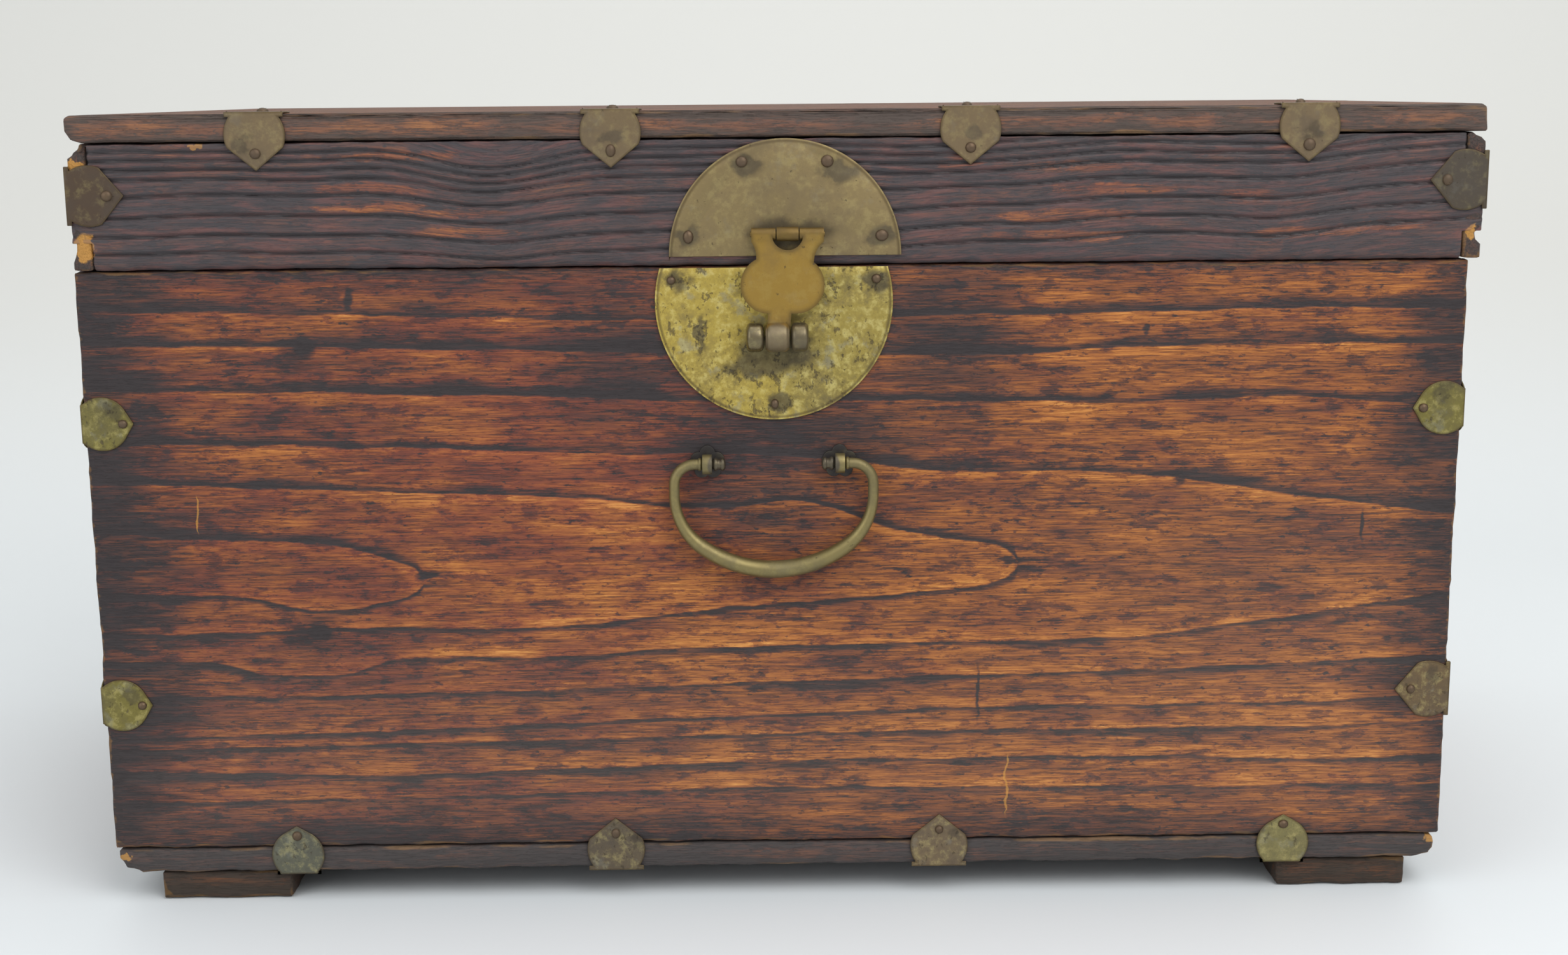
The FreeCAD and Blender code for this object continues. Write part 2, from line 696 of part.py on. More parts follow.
polygon(neck, [
    ("0 - hasp_lean * barrel_drop - hasp_neck_width / 2", "0 - barrel_drop"),
    ("0 - hasp_lean * barrel_drop + hasp_neck_width / 2", "0 - barrel_drop"),
    ("0 - hasp_lean * hasp_belly_drop + hasp_neck_width / 2", "0 - hasp_belly_drop"),
    ("0 - hasp_lean * hasp_belly_drop - hasp_neck_width / 2", "0 - hasp_belly_drop"),
])
pad(hasp, neck, "hasp_sheet")

# the rolled ears, one each side of the eye, and the pin's bore
ear_start = "hasp_eye_length / 2 + hasp_ear_gap"
for name, start in (("hasp_roll_right", ear_start), ("hasp_roll_left", "0 - hasp_ear_half")):
    roll = sketch_on(hasp, "YZ_Plane", name, offset=start)
    circle(roll, "0", "0", "hasp_roll_radius")
    pad(hasp, roll, f"hasp_ear_half - ({ear_start})")
bore = sketch_on(hasp, "YZ_Plane", "hasp_pin_bore", offset="0 - 2 * hasp_ear_half")
circle(bore, "0", "0", "hasp_pin_radius + hasp_pin_fit")
pocket(hasp, bore, "4 * hasp_ear_half", back=True)

# the barrel at the foot stands between the two on the box
barrel_depth = "eye_stand + lid_overhang - barrel_stand"
barrel = sketch_on(hasp, "YZ_Plane", "hasp_barrel",
                   offset="0 - hasp_lean * barrel_drop - barrel_length / 2")
circle(barrel, barrel_depth, "0 - barrel_drop", "barrel_radius")
pad(hasp, barrel, "barrel_length")
barrel_hole = sketch_on(hasp, "YZ_Plane", "hasp_barrel_hole",
                        offset="0 - hasp_lean * barrel_drop - barrel_length")
circle(barrel_hole, barrel_depth, "0 - barrel_drop", "barrel_bore")
pocket(hasp, barrel_hole, "2 * barrel_length", back=True)
put(hasp, "hasp_x", "hasp_y", "hasp_z")
parts.append(hasp)

hasp_pin = doc.addObject("Part::Cylinder", "hasp_pin")
hasp_pin.Label = "hasp_pin"
hasp_pin.setExpression("Radius", ex("hasp_pin_radius"))
hasp_pin.setExpression("Height", ex("pin_length"))
put(hasp_pin, "hasp_x - pin_length / 2", "hasp_y", "hasp_z", turned((0, 1, 0), 90))
parts.append(hasp_pin)

parts.append(cut_by("lid_lock_plate", lid_plate_blank,
                    [doc.getObject("lid_plate_nails"), hasp_eye]))
parts.append(cut_by("box_lock_plate", box_plate_blank,
                    [doc.getObject("box_plate_nails")] + staples))

# The drop handle.
PETALS = 5
posts = []
for side, step in (("left", "0 - post_half_spread"), ("right", "post_half_spread")):
    post = barrel_on_tang(f"handle_post_{side}", "post_eye_radius",
                          "(bail_end_radius + bail_fit)", "post_eye_length", "post_shank",
                          "post_shank", "post_stand + wall_thickness")
    put(post, f"handle_x + {step}", "handle_y", "handle_z")
    posts.append(post)
    parts.append(post)
    blossom = new_body(f"rosette_blank_{side}")
    middle = sketch_on(blossom, "XZ_Plane", f"rosette_middle_{side}")
    circle(middle, "0", "0", "rosette_middle")
    pad(blossom, middle, "rosette_sheet")
    petal = sketch_on(blossom, "XZ_Plane", f"rosette_petal_{side}")
    circle(petal, "0", "petal_centre", "petal_radius")
    petal_pad = pad(blossom, petal, "rosette_sheet")
    doc.recompute()
    petals = blossom.newObject("PartDesign::PolarPattern", f"rosette_petals_{side}")
    petals.Originals = [petal_pad]
    petals.Axis = (middle, ["N_Axis"])
    petals.Occurrences = PETALS
    blossom.Tip = petals
    put(blossom, f"handle_x + {step}", "front", "handle_z")
    parts.append(cut_by(f"handle_rosette_{side}", blossom, [post]))

bail = new_body("handle_bail")
half, drop = num("bail_half_width"), num("bail_drop")
shoulder, side_low = num("bail_shoulder_radius"), num("0 - bail_shoulder_radius - bail_side_run")
corner_radius = num("bail_corner_radius")
# the grip's arc touches the corner's arc and is level in the middle
reach_x = half - corner_radius
grip_radius = ((reach_x ** 2 + (side_low + drop) ** 2 - corner_radius ** 2)
               / (2 * (side_low + drop - corner_radius)))
touch = math.atan2(side_low - grip_radius + drop, reach_x)
TURN_STEPS, CORNER_STEPS, GRIP_STEPS = 4, 4, 3
BAIL_FLATS = 8


def on_arc(x, z, radius, angle, size):
    """A station on an arc: its point, the way the rod runs there, and its radius."""
    return (x + radius * math.cos(angle), z + radius * math.sin(angle),
            math.sin(angle), -math.cos(angle), size)


# stations along the right half, from the collar to the middle of the grip
stations = [(num("bail_neck"), 0, 1, 0, "bail_shoulder_section")]
for step in range(TURN_STEPS + 1):
    angle = math.pi / 2 * (1 - step / TURN_STEPS)
    stations.append(on_arc(half - shoulder, -shoulder, shoulder, angle,
                           "bail_shoulder_section"))
swell = CORNER_STEPS + GRIP_STEPS
for step in range(swell + 1):
    size = ("bail_side_section + (bail_grip_section - bail_side_section)"
            f" * {step} / {swell}")
    if step <= CORNER_STEPS:
        stations.append(on_arc(reach_x, side_low, corner_radius,
                               touch * step / CORNER_STEPS, size))
    else:
        angle = touch - (math.pi / 2 + touch) * (step - CORNER_STEPS) / GRIP_STEPS
        stations.append(on_arc(0, grip_radius - drop, grip_radius, angle, size))
mirrored = [(-x, z, run_x, -run_z, size) for x, z, run_x, run_z, size in stations[:-1]]
sections = []
for index, (x, z, run_x, run_z, size) in enumerate(stations + mirrored[::-1]):
    section = bail.newObject("Sketcher::SketchObject", f"bail_section_{index}")
    front_plane = next(item for item in bail.Origin.OriginFeatures if item.Role == "XZ_Plane")
    section.AttachmentSupport = [(front_plane, "")]
    section.MapMode = "FlatFace"
    section.AttachmentOffset = Placement(
        Vector(x, z, 0),
        Rotation(Vector(0, 0, 1), Vector(), Vector(run_x, run_z, 0), "ZXY"))
    # forged to flats, with a ridge along the front
    polygon(section, [(f"({size}) * cos({360 / BAIL_FLATS * flat} deg)",
                       f"({size}) * sin({360 / BAIL_FLATS * flat} deg)")
                      for flat in range(BAIL_FLATS)])
    sections.append(section)
rod = bail.newObject("PartDesign::AdditiveLoft", "bail_rod")
rod.Profile = sections[0]
rod.Sections = [(section, [""]) for section in sections[1:]]
rod.Ruled = True

# each end is turned: a collar outside the eye, the pin in it, a knob inside
END_PROFILE = [
    ("knob_end - knob_length", "0"),
    ("knob_end - knob_length", "knob_ridge / 2"),
    ("knob_end - knob_length + knob_ridge_length / 2", "knob_ridge"),
    ("knob_end - knob_length + knob_ridge_length", "knob_ridge"),
    ("knob_end - knob_length / 2", "knob_waist"),
    ("knob_end - knob_ridge_length", "knob_ridge"),
    ("knob_end", "knob_ridge"),
    ("knob_end", "bail_end_radius"),
    ("bail_neck - collar_length / 2", "bail_end_radius"),
    ("bail_neck - collar_length / 2", "collar_radius"),
    ("bail_neck + collar_length / 2", "collar_radius"),
    ("bail_neck + collar_length / 2", "0"),
]
for side, name in ((-1, "left"), (1, "right")):
    end_sketch = sketch_on(bail, "XZ_Plane", "bail_end_" + name)
    polygon(end_sketch, [(f"{side} * ({x})", radius) for x, radius in END_PROFILE])
    end_turn = bail.newObject("PartDesign::Revolution", "bail_end_turn_" + name)
    end_turn.Profile = end_sketch
    end_turn.ReferenceAxis = (end_sketch, ["H_Axis"])
    end_turn.Angle = 360
put(bail, "handle_x", "handle_y", "handle_z")
parts.append(bail)

# The hinges.
LEAF_NAILS = (("0 - hinge_nail_x", "hinge_nail_near"), ("hinge_nail_x", "hinge_nail_near"),
              ("0", "hinge_nail_far"))


def hinge_leaf(label, up, x):
    """A pointed leaf with its knuckles. The lid's leaf has the middle knuckle."""
    body = new_body(label + "_blank")
    turn = 0 if up else 180
    plate = sketch_on(body, "XZ_Plane", label + "_plate", turn=turn)
    polygon(plate, [
        ("0 - hinge_width / 2", "leaf_clear"),
        ("hinge_width / 2", "leaf_clear"),
        ("hinge_width / 2", "hinge_shoulder"),
        ("0", "hinge_reach"),
        ("0 - hinge_width / 2", "hinge_shoulder"),
    ])
    pad(body, plate, "hinge_sheet", back=True)
    if up:
        knuckles = [("0 - knuckle_middle / 2", "knuckle_middle")]
    else:
        knuckles = [("0 - hinge_width / 2", "knuckle_side"),
                    ("knuckle_middle / 2 + knuckle_gap", "knuckle_side")]
    for index, (start, length) in enumerate(knuckles):
        tab = sketch_on(body, "XZ_Plane", f"{label}_tab_{index}", turn=turn)
        rectangle(tab, start, "0", length, "leaf_clear")
        pad(body, tab, "hinge_sheet", back=True)
        roll = sketch_on(body, "YZ_Plane", f"{label}_roll_{index}", offset=start)
        circle(roll, "hinge_stand", "0", "knuckle_radius")
        pad(body, roll, length)
    hole = sketch_on(body, "YZ_Plane", label + "_bore", offset="0 - hinge_width")
    circle(hole, "hinge_stand", "0", "hinge_pin_radius + hinge_pin_fit")
    pocket(body, hole, "2 * hinge_width", back=True)
    put(body, x, "back", "rim")
    sign = 1 if up else -1
    nails = []
    for side, reach in LEAF_NAILS:
        spot = Vector(num(x) + num(side), num("back + hinge_sheet"),
                      num("rim") + sign * num(reach))
        nails.append(drive_nail(Placement(spot, BACKWARD)))
    return body, nails


lid_hinge_nails, box_hinge_nails, hinge_pins = [], [], []
blanks = {"lid": [], "box": []}
for side, x in (("left", "box_x - hinge_spread / 2"), ("right", "box_x + hinge_spread / 2")):
    blank, nails = hinge_leaf(f"hinge_lid_leaf_{side}", True, x)
    blanks["lid"].append(blank)
    lid_hinge_nails += nails
    blank, nails = hinge_leaf(f"hinge_box_leaf_{side}", False, x)
    blanks["box"].append(blank)
    box_hinge_nails += nails
    pin = doc.addObject("Part::Cylinder", f"hinge_pin_{side}")
    pin.setExpression("Radius", ex("hinge_pin_radius"))
    pin.setExpression("Height", ex("hinge_width"))
    put(pin, f"{x} - hinge_width / 2", "back + hinge_stand", "rim", turned((0, 1, 0), 90))
    hinge_pins.append(pin)
parts.append(group("hinge_pins", hinge_pins))
parts.append(group("lid_hinge_nails", lid_hinge_nails))
parts.append(group("box_hinge_nails", box_hinge_nails))
for name, pair in blanks.items():
    parts.append(cut_by(f"hinge_{name}_leaves", group(f"hinge_{name}_blanks", pair),
                        [doc.getObject(f"{name}_hinge_nails")]))

# The boards.
def board(label, width, depth, height):
    """A board as a pad of its plan, from its lower front left corner."""
    body = new_body(label)
    plan = sketch_on(body, "XY_Plane", label + "_plan")
    rectangle(plan, "0", "0", width, depth)
    pad(body, plan, height)
    return body


def seat(body, name, role, offset, x, y, width, height, length, back=True):
    """A rectangular pocket in a board."""
    cut = sketch_on(body, role, name, offset=offset)
    rectangle(cut, x, y, width, height)
    pocket(body, cut, length, back=back)


def named(name):
    return doc.getObject(name)


def near(value, wanted):
    return abs(value - wanted) < 0.01


# the bottom board, with its ends worn round
bottom = board("bottom_board", "bottom_width", "box_depth", "bottom_thickness")
ease_edges(bottom, "Fillet", "bottom_round", lambda mid, edge: (
    near(mid.z, num("bottom_thickness") / 2)
    or (near(mid.z, 0) and not near(mid.y, num("box_depth") / 2) and not near(mid.y, 0)
        and not near(mid.y, num("box_depth")))
    or (near(mid.z, 0) and near(mid.y, num("box_depth") / 2))))
put(bottom, "box_x - bottom_width / 2", "front", "foot_height")
parts.append(bottom)

# the feet: battens from front to back, let out for the tabs of the straps
for side, x in (("left", "left + left_foot_inset"),
                ("right", "right - right_foot_inset - foot_width")):
    foot = board(f"{side}_foot", "foot_width", "box_depth - 2 * foot_setback", "foot_height")
    ease_edges(foot, "Chamfer", "foot_chamfer",
               lambda mid, edge: near(mid.z, 0) and not near(mid.x, num("foot_width") / 2))
    cut_x = f"{AT[side].format('base')} - base_tab_width / 2 - ({x})"
    seat(foot, f"{side}_foot_seat", "XY_Plane", "foot_height - strap_sheet", cut_x, "0",
         "base_tab_width", "base_tab_depth - foot_setback", "strap_sheet")
    put(foot, x, "front + foot_setback", "0")
    parts.append(foot)

# the walls: front and back run across the ends of the sides, which are let into them
box_seats = [named("box_strap_nails")]
side_depth = "box_depth - 2 * (wall_thickness - rabbet_depth)"
for label, x in (("left_board", "left"), ("right_board", "right - wall_thickness")):
    wall = board(label + "_blank", "wall_thickness", side_depth, "wall_height")
    put(wall, x, "front + wall_thickness - rabbet_depth", "floor")
    parts.append(cut_by(label, wall, box_seats))
for label, y, inside, tools in (
        ("front_board", "front", "wall_thickness - rabbet_depth",
         box_seats + [named("box_plate_nails")] + staples + posts),
        ("back_board", "back - wall_thickness", "0",
         box_seats + [named("box_hinge_nails")])):
    wall = board(label + "_blank", "box_width", "wall_thickness", "wall_height")
    for end, end_x in (("left", "0"), ("right", "box_width - wall_thickness")):
        seat(wall, f"{label}_{end}_rabbet", "XY_Plane", "0", end_x, inside,
             "wall_thickness", "rabbet_depth", "wall_height", back=True)
    outer = 0 if label == "front_board" else num("wall_thickness")
    ease_edges(wall, "Fillet", "rim_round",
               lambda mid, edge: near(mid.z, num("wall_height")) and near(mid.y, outer))
    put(wall, "left", y, "floor")
    parts.append(cut_by(label, wall, tools))

# the lid's frame: the sides' fingers pass above and below the front's and back's
tongue = "lid_frame_height - 2 * finger_height"
lid_seats = [named("lid_strap_nails")]
for label, x in (("lid_left_board", "lid_left"), ("lid_right_board", "lid_right - lid_wall")):
    wall = board(label + "_blank", "lid_wall", "lid_depth", "lid_frame_height")
    for end, end_y in (("front", "0"), ("back", "lid_depth - lid_wall")):
        seat(wall, f"{label}_{end}_fingers", "YZ_Plane", "0", end_y, "finger_height",
             "lid_wall", tongue, "lid_wall", back=True)
    put(wall, x, "lid_front", "rim")
    parts.append(cut_by(label, wall, lid_seats))
for label, y, tools in (
        ("lid_front_board", "lid_front",
         lid_seats + [named("lid_plate_nails"), hasp_eye]),
        ("lid_back_board", "back - lid_wall", lid_seats + [named("lid_hinge_nails")])):
    wall = board(label + "_blank", "lid_width", "lid_wall", "lid_frame_height")
    for end, end_x in (("left", "0"), ("right", "lid_width - lid_wall")):
        for level, low in (("low", "0"), ("high", "lid_frame_height - finger_height")):
            seat(wall, f"{label}_{end}_{level}", "XZ_Plane", "0", end_x, low,
                 "lid_wall", "finger_height", "lid_wall", back=False)
    outer = 0 if label == "lid_front_board" else num("lid_wall")
    ease_edges(wall, "Fillet", "rim_round",
               lambda mid, edge: (near(mid.z, 0) and near(mid.y, outer)
                                  and near(mid.x, num("lid_width") / 2)))
    put(wall, "lid_left", y, "rim")
    parts.append(cut_by(label, wall, tools))

# the lid's top board, with its upper edges worn
top_board = board("lid_top_board_blank", "lid_width", "lid_depth", "lid_board")
ease_edges(top_board, "Fillet", "lid_board_round",
           lambda mid, edge: near(mid.z, num("lid_board")))
put(top_board, "lid_left", "lid_front", "lid_seat")
parts.append(cut_by("lid_top_board", top_board, lid_seats))

# Check every sub-part, then write it.
doc.recompute()
for item in doc.Objects:
    if "Invalid" in item.State or "Error" in item.State:
        raise ValueError(item.Label + " failed: " + str(item.State))
for part in parts:
    if part.Shape.isNull() or not part.Shape.isValid():
        raise ValueError(part.Label + " has no valid shape")
os.makedirs("parts", exist_ok=True)
for part in parts:
    part.Shape.exportStep(os.path.join("parts", part.Label + ".step"))
print(len(parts), "sub-parts written")
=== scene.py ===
"""A worn wooden chest with brass mounts, dressed over its CAD frame."""

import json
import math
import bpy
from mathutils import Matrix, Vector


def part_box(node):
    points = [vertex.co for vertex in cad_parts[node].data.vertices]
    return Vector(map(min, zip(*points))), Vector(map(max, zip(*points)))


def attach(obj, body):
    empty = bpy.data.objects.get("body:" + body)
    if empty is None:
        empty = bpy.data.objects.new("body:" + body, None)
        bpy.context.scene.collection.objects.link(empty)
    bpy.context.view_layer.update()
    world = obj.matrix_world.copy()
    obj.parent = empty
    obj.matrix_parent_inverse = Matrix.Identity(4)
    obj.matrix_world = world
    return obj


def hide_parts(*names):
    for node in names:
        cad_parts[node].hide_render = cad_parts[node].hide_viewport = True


bl_info = {
    "name": "Old Chest",
    "version": (1, 0, 0),
    "blender": (4, 5, 0),
    "location": "View3D > Sidebar > Old Chest",
    "description": "Builds the boards, brass and stage of an old lidded chest",
    "category": "Object",
}

import bpy
import numpy as np
from bpy.props import FloatProperty, FloatVectorProperty, PointerProperty
from mathutils import Matrix, Vector, noise

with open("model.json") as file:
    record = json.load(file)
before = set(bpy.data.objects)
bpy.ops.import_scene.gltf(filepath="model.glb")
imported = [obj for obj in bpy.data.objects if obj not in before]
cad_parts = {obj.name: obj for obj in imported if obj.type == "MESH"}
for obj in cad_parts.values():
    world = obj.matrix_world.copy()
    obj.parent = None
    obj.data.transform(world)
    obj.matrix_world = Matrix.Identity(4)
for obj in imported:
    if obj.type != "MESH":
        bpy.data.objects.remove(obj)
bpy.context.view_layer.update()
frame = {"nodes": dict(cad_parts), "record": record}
MM = 0.001

# Places read from the frame: corners in metres, then lines on the front in millimetres.
FRONT_LOW, FRONT_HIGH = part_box("front_board")
LID_LOW, LID_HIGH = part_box("lid_front_board")
POST_LOW, POST_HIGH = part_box("handle_post_left")
HANDLE_Z = (POST_LOW[2] + POST_HIGH[2]) / 2 / MM
MIDDLE_X = (FRONT_LOW[0] + FRONT_HIGH[0]) / 2 / MM


def srgb(red, green, blue):
    """A colour of 0 to 255 as the linear values that a shader takes."""
    shades = []
    for value in (red, green, blue):
        part = value / 255
        shades.append(part / 12.92 if part <= 0.04045 else ((part + 0.055) / 1.055) ** 2.4)
    return (*shades, 1.0)


def colour(name, description, *shade):
    return FloatVectorProperty(name=name, description=description, subtype="COLOR",
                               size=4, min=0, max=1, default=srgb(*shade))


def length(name, description, size):
    return FloatProperty(name=name, description=description, subtype="DISTANCE",
                         unit="LENGTH", default=size * MM)


def angle(name, description, degrees):
    return FloatProperty(name=name, description=description, subtype="ANGLE",
                         default=math.radians(degrees))


class ChestWood(bpy.types.PropertyGroup):
    """Colours and wear of the boards."""

    earlywood: colour("Earlywood", "Light orange wood between the rings", 208, 146, 78)
    rubbed: colour("Rubbed", "Orange brown of the handled wood", 147, 89, 49)
    stain: colour("Stain", "Red brown where the stain has held", 108, 60, 49)
    grime: colour("Grime", "Dark of the ring lines and the dirt", 54, 49, 50)
    raw: colour("Raw wood", "Fresh wood in chips and open joints", 205, 148, 66)
    foot: colour("Foot", "Rough brown of the two battens", 67, 56, 43)
    edge_radius: length("Edge radius", "How round the boards' edges are worn", 1.6)
    edge_wear: length("Edge wear", "How deep the edges are worn in places", 1.1)
    mesh_step: length("Mesh step", "Distance between the loops of a board", 4)
    lid_round: length("Lid rounding", "Radius of the lid's most handled edges", 3.4)
    relief: length("Lid relief", "Depth of the grooves in the lid's front", 1.2)


class ChestBrass(bpy.types.PropertyGroup):
    """Colours and edges of the brass."""

    yellow: colour("Yellow", "Bright olive brass of the lower plate", 176, 154, 76)
    tan: colour("Tan", "Dull brass of the upper plate", 134, 117, 82)
    gold: colour("Gold", "Rubbed brass of the hasp", 152, 122, 58)
    bronze: colour("Bronze", "Brown brass of the pointed straps", 122, 105, 80)
    olive: colour("Olive", "Green brass of the round straps", 122, 113, 62)
    handle: colour("Handle", "Olive brass of the bail", 132, 120, 80)
    grey: colour("Grey", "Grey patina of the barrels", 112, 101, 76)
    black: colour("Black", "Blackened brass and iron", 56, 52, 50)
    edge_round: length("Edge round", "Rounding of the sheet's edges", 0.35)
    border: length("Border", "Width of the darker border of each sheet", 0.9)
    barrel_radius: length("Barrel radius", "Radius of the three lock barrels", 7.3)
    nail_radius: length("Nail radius", "Radius of the nails' round heads", 2.7)
    nail_height: length("Nail height", "How far the nails' heads stand out", 1.8)


class ChestStage(bpy.types.PropertyGroup):
    """Camera, light and background."""

    camera_place: FloatVectorProperty(name="Camera place", description="Where the camera stands",
                                      subtype="TRANSLATION", unit="LENGTH",
                                      default=(-0.0076, -1.2048, 0.4198))
    camera_down: angle("Camera tilt", "How far the camera looks down", 10.75)
    camera_right: angle("Camera turn", "How far it looks to the right", 0.58)
    camera_roll: angle("Camera roll", "How far it leans to the right", 0.5)
    lens: FloatProperty(name="Lens", description="Focal length in millimetres on 36 mm",
                        subtype="DISTANCE_CAMERA", default=46.9)
    wall: colour("Wall", "Pale warm grey behind the chest", 210, 210, 206)
    floor: colour("Floor", "Pale blue white under the chest", 220, 225, 228)
    key: FloatProperty(name="Key light", description="Power of the large lamp", subtype="POWER",
                       unit="POWER", default=30)
    sky: FloatProperty(name="Sky", description="Strength of the light from all round", default=0.8)


class Value:
    """A node's output; sums and products of values become further nodes."""

    def __init__(self, wiring, socket):
        self.wiring, self.socket = wiring, socket

    def __add__(self, other):
        return self.wiring.math("ADD", self, other)

    def __sub__(self, other):
        return self.wiring.math("SUBTRACT", self, other)

    def __rsub__(self, other):
        return self.wiring.math("SUBTRACT", other, self)

    def __mul__(self, other):
        return self.wiring.math("MULTIPLY", self, other)

    def __truediv__(self, other):
        return self.wiring.math("DIVIDE", self, other)

    __radd__, __rmul__ = __add__, __mul__


class Wiring:
    """Adds nodes to one shader tree, a call for each."""

    def __init__(self, tree):
        self.tree = tree

    def feed(self, sockets, values):
        """Link or set inputs, from what they get by name or number."""
        for name, value in values.items():
            if isinstance(value, Value):
                self.tree.links.new(value.socket, sockets[name])
            else:
                sockets[name].default_value = value

    def node(self, kind, *inputs, named=None, **settings):
        made = self.tree.nodes.new(kind)
        for name, value in settings.items():
            setattr(made, name, value)
        self.feed(made.inputs, dict(enumerate(inputs)) | (named or {}))
        return made

    def value(self, kind, *inputs, output=0, **settings):
        return Value(self, self.node(kind, *inputs, **settings).outputs[output])

    def outputs(self, made):
        return {socket.name: Value(self, socket) for socket in made.outputs}

    def math(self, operation, *values, **settings):
        return self.value("ShaderNodeMath", *values, operation=operation, **settings)

    def clamp(self, value):
        return self.math("ADD", value, 0, use_clamp=True)

    def most(self, *values):
        total = values[0]
        for value in values[1:]:
            total = self.math("MAXIMUM", total, value)
        return total

    def reach(self, over, up):
        return self.math("SQRT", over * over + up * up)

    def span(self, value, low, high, start=0.0, end=1.0, smooth=True):
        """Take low..high to start..end, held at both ends."""
        return self.value("ShaderNodeMapRange", value, low, high, start, end, clamp=True,
                          interpolation_type="SMOOTHSTEP" if smooth else "LINEAR")

    def blend(self, factor, first, second):
        return self.value("ShaderNodeMix", named={0: factor, 6: first, 7: second}, output=2,
                          data_type="RGBA")

    def ramp(self, factor, stops):
        """Colours along a value, from (place, colour) stops."""
        made = self.node("ShaderNodeValToRGB", factor)
        band = made.color_ramp
        while len(band.elements) < len(stops):
            band.elements.new(1.0)
        for element, (place, shade) in zip(band.elements, stops):
            element.position = place
            element.color = shade
        return Value(self, made.outputs[0])

    def object_mm(self):
        """Object coordinates in millimetres."""
        coords = self.value("ShaderNodeTexCoord", output="Object")
        return self.value("ShaderNodeVectorMath", coords, named={"Scale": 1 / MM},
                          operation="SCALE")

    def split(self, vector):
        return list(self.outputs(self.node("ShaderNodeSeparateXYZ", vector)).values())

    def join(self, x, y, z):
        return self.value("ShaderNodeCombineXYZ", x, y, z)

    def mark(self, name):
        """A value that the mesh keeps for each point."""
        return self.value("ShaderNodeAttribute", output="Fac", attribute_name=name)

    def cloud(self, vector, scale, shift=(0, 0, 0), detail=3.0, rough=0.55, warp=0.0):
        """A noise of 0 to 1, about 0.5 on average, at its own scale for each axis."""
        placed = self.value("ShaderNodeMapping", vector, shift, (0, 0, 0), scale)
        return self.value("ShaderNodeTexNoise", placed, named={
            "Scale": 1.0, "Detail": detail, "Roughness": rough, "Distortion": warp})

    def sway(self, vector, scale, much, shift=(0, 0, 0), detail=3.0):
        """A noise about 0, to move places by."""
        return (self.cloud(vector, scale, shift, detail) - 0.5) * much

    def near(self, x, z, place, size):
        """1 at a place on a front face, falling to 0 at size = (across, up) from it."""
        far = self.reach((x - place[0]) / size[0], (z - place[1]) / size[1])
        return self.span(far, 0.0, 1.0, 1.0, 0.0)

    def group(self, tree, inputs):
        return self.outputs(self.node("ShaderNodeGroup", named=inputs, node_tree=tree))


def new_group(name, inputs, outputs):
    """An empty node group, its sockets named by kind: tree, wiring, inputs and outputs."""
    tree = bpy.data.node_groups.new(name, "ShaderNodeTree")
    for way, sockets in (("INPUT", inputs), ("OUTPUT", outputs)):
        for kind, labels in sockets.items():
            for label in labels.split():
                tree.interface.new_socket(label, in_out=way, socket_type="NodeSocket" + kind)
    w = Wiring(tree)
    return tree, w, w.outputs(w.node("NodeGroupInput")), w.node("NodeGroupOutput").inputs


# Shader groups that several materials share.
def stained_wood_group(wood):
    """Old stained wood. Grain runs along X of its vector, which is in millimetres."""
    tree, w, given, out = new_group(
        "Stained wood", {"Vector": "Grain", "Float": "Lines Dirt Red Worn Light"},
        {"Color": "Color", "Float": "Roughness Height"})
    grain, lines, dirt = given["Grain"], given["Lines"], given["Dirt"]
    fibre = w.cloud(grain, (0.05, 1.5, 1.5), (7, 3, 1), 4, 0.62)
    streak = w.cloud(grain, (0.018, 0.24, 0.24), detail=6, rough=0.66, warp=0.3)
    patch = w.cloud(grain, (0.016, 0.045, 0.045), (2, 9, 4), 6, 0.66)
    blotch = w.cloud(grain, (0.06, 0.17, 0.17), (5, 5, 8), 7, 0.70)
    nick = w.cloud(grain, (0.16, 0.42, 0.42), (3, 1, 5), 4, 0.6)
    pores = w.span(w.cloud(grain, (0.085, 1.15, 1.15), (1, 8, 2), 4, 0.66), 0.50, 0.62)
    fine = w.span(fibre, 0.34, 0.66, -0.17, 0.17, False)
    broad = w.span(streak, 0.32, 0.68, -0.11, 0.11, False)
    area = w.span(patch, 0.34, 0.66, -0.12, 0.12, False)
    marks = w.span(blotch, 0.54, 0.60) * 0.24 + w.span(nick, 0.62, 0.68) * 0.34
    tone = w.clamp(fine + 0.65 + broad + area + given["Light"] - marks
                   - pores * 0.22 - lines * 0.66 - dirt * 0.50)
    orange = w.ramp(tone, [
        (0.04, wood.grime), (0.24, srgb(76, 55, 50)), (0.46, srgb(112, 69, 49)),
        (0.66, wood.rubbed), (0.86, srgb(180, 115, 58)), (1.0, wood.earlywood)])
    red = w.ramp(tone, [
        (0.04, wood.grime), (0.26, srgb(74, 52, 50)), (0.50, wood.stain),
        (0.78, srgb(140, 77, 50)), (1.0, srgb(170, 100, 58))])
    hue = w.clamp(given["Red"] + w.span(patch, 0.35, 0.65, 0.35, -0.35)
                  + w.span(blotch, 0.45, 0.60, -0.1, 0.3))
    w.feed(out, {
        "Color": w.blend(given["Worn"], w.blend(hue, orange, red), wood.raw),
        "Roughness": streak * 0.22 + 0.46 + dirt * 0.14,
        "Height": fibre * 0.5 - lines * 0.5 - (pores + marks) * 0.35})
    return tree


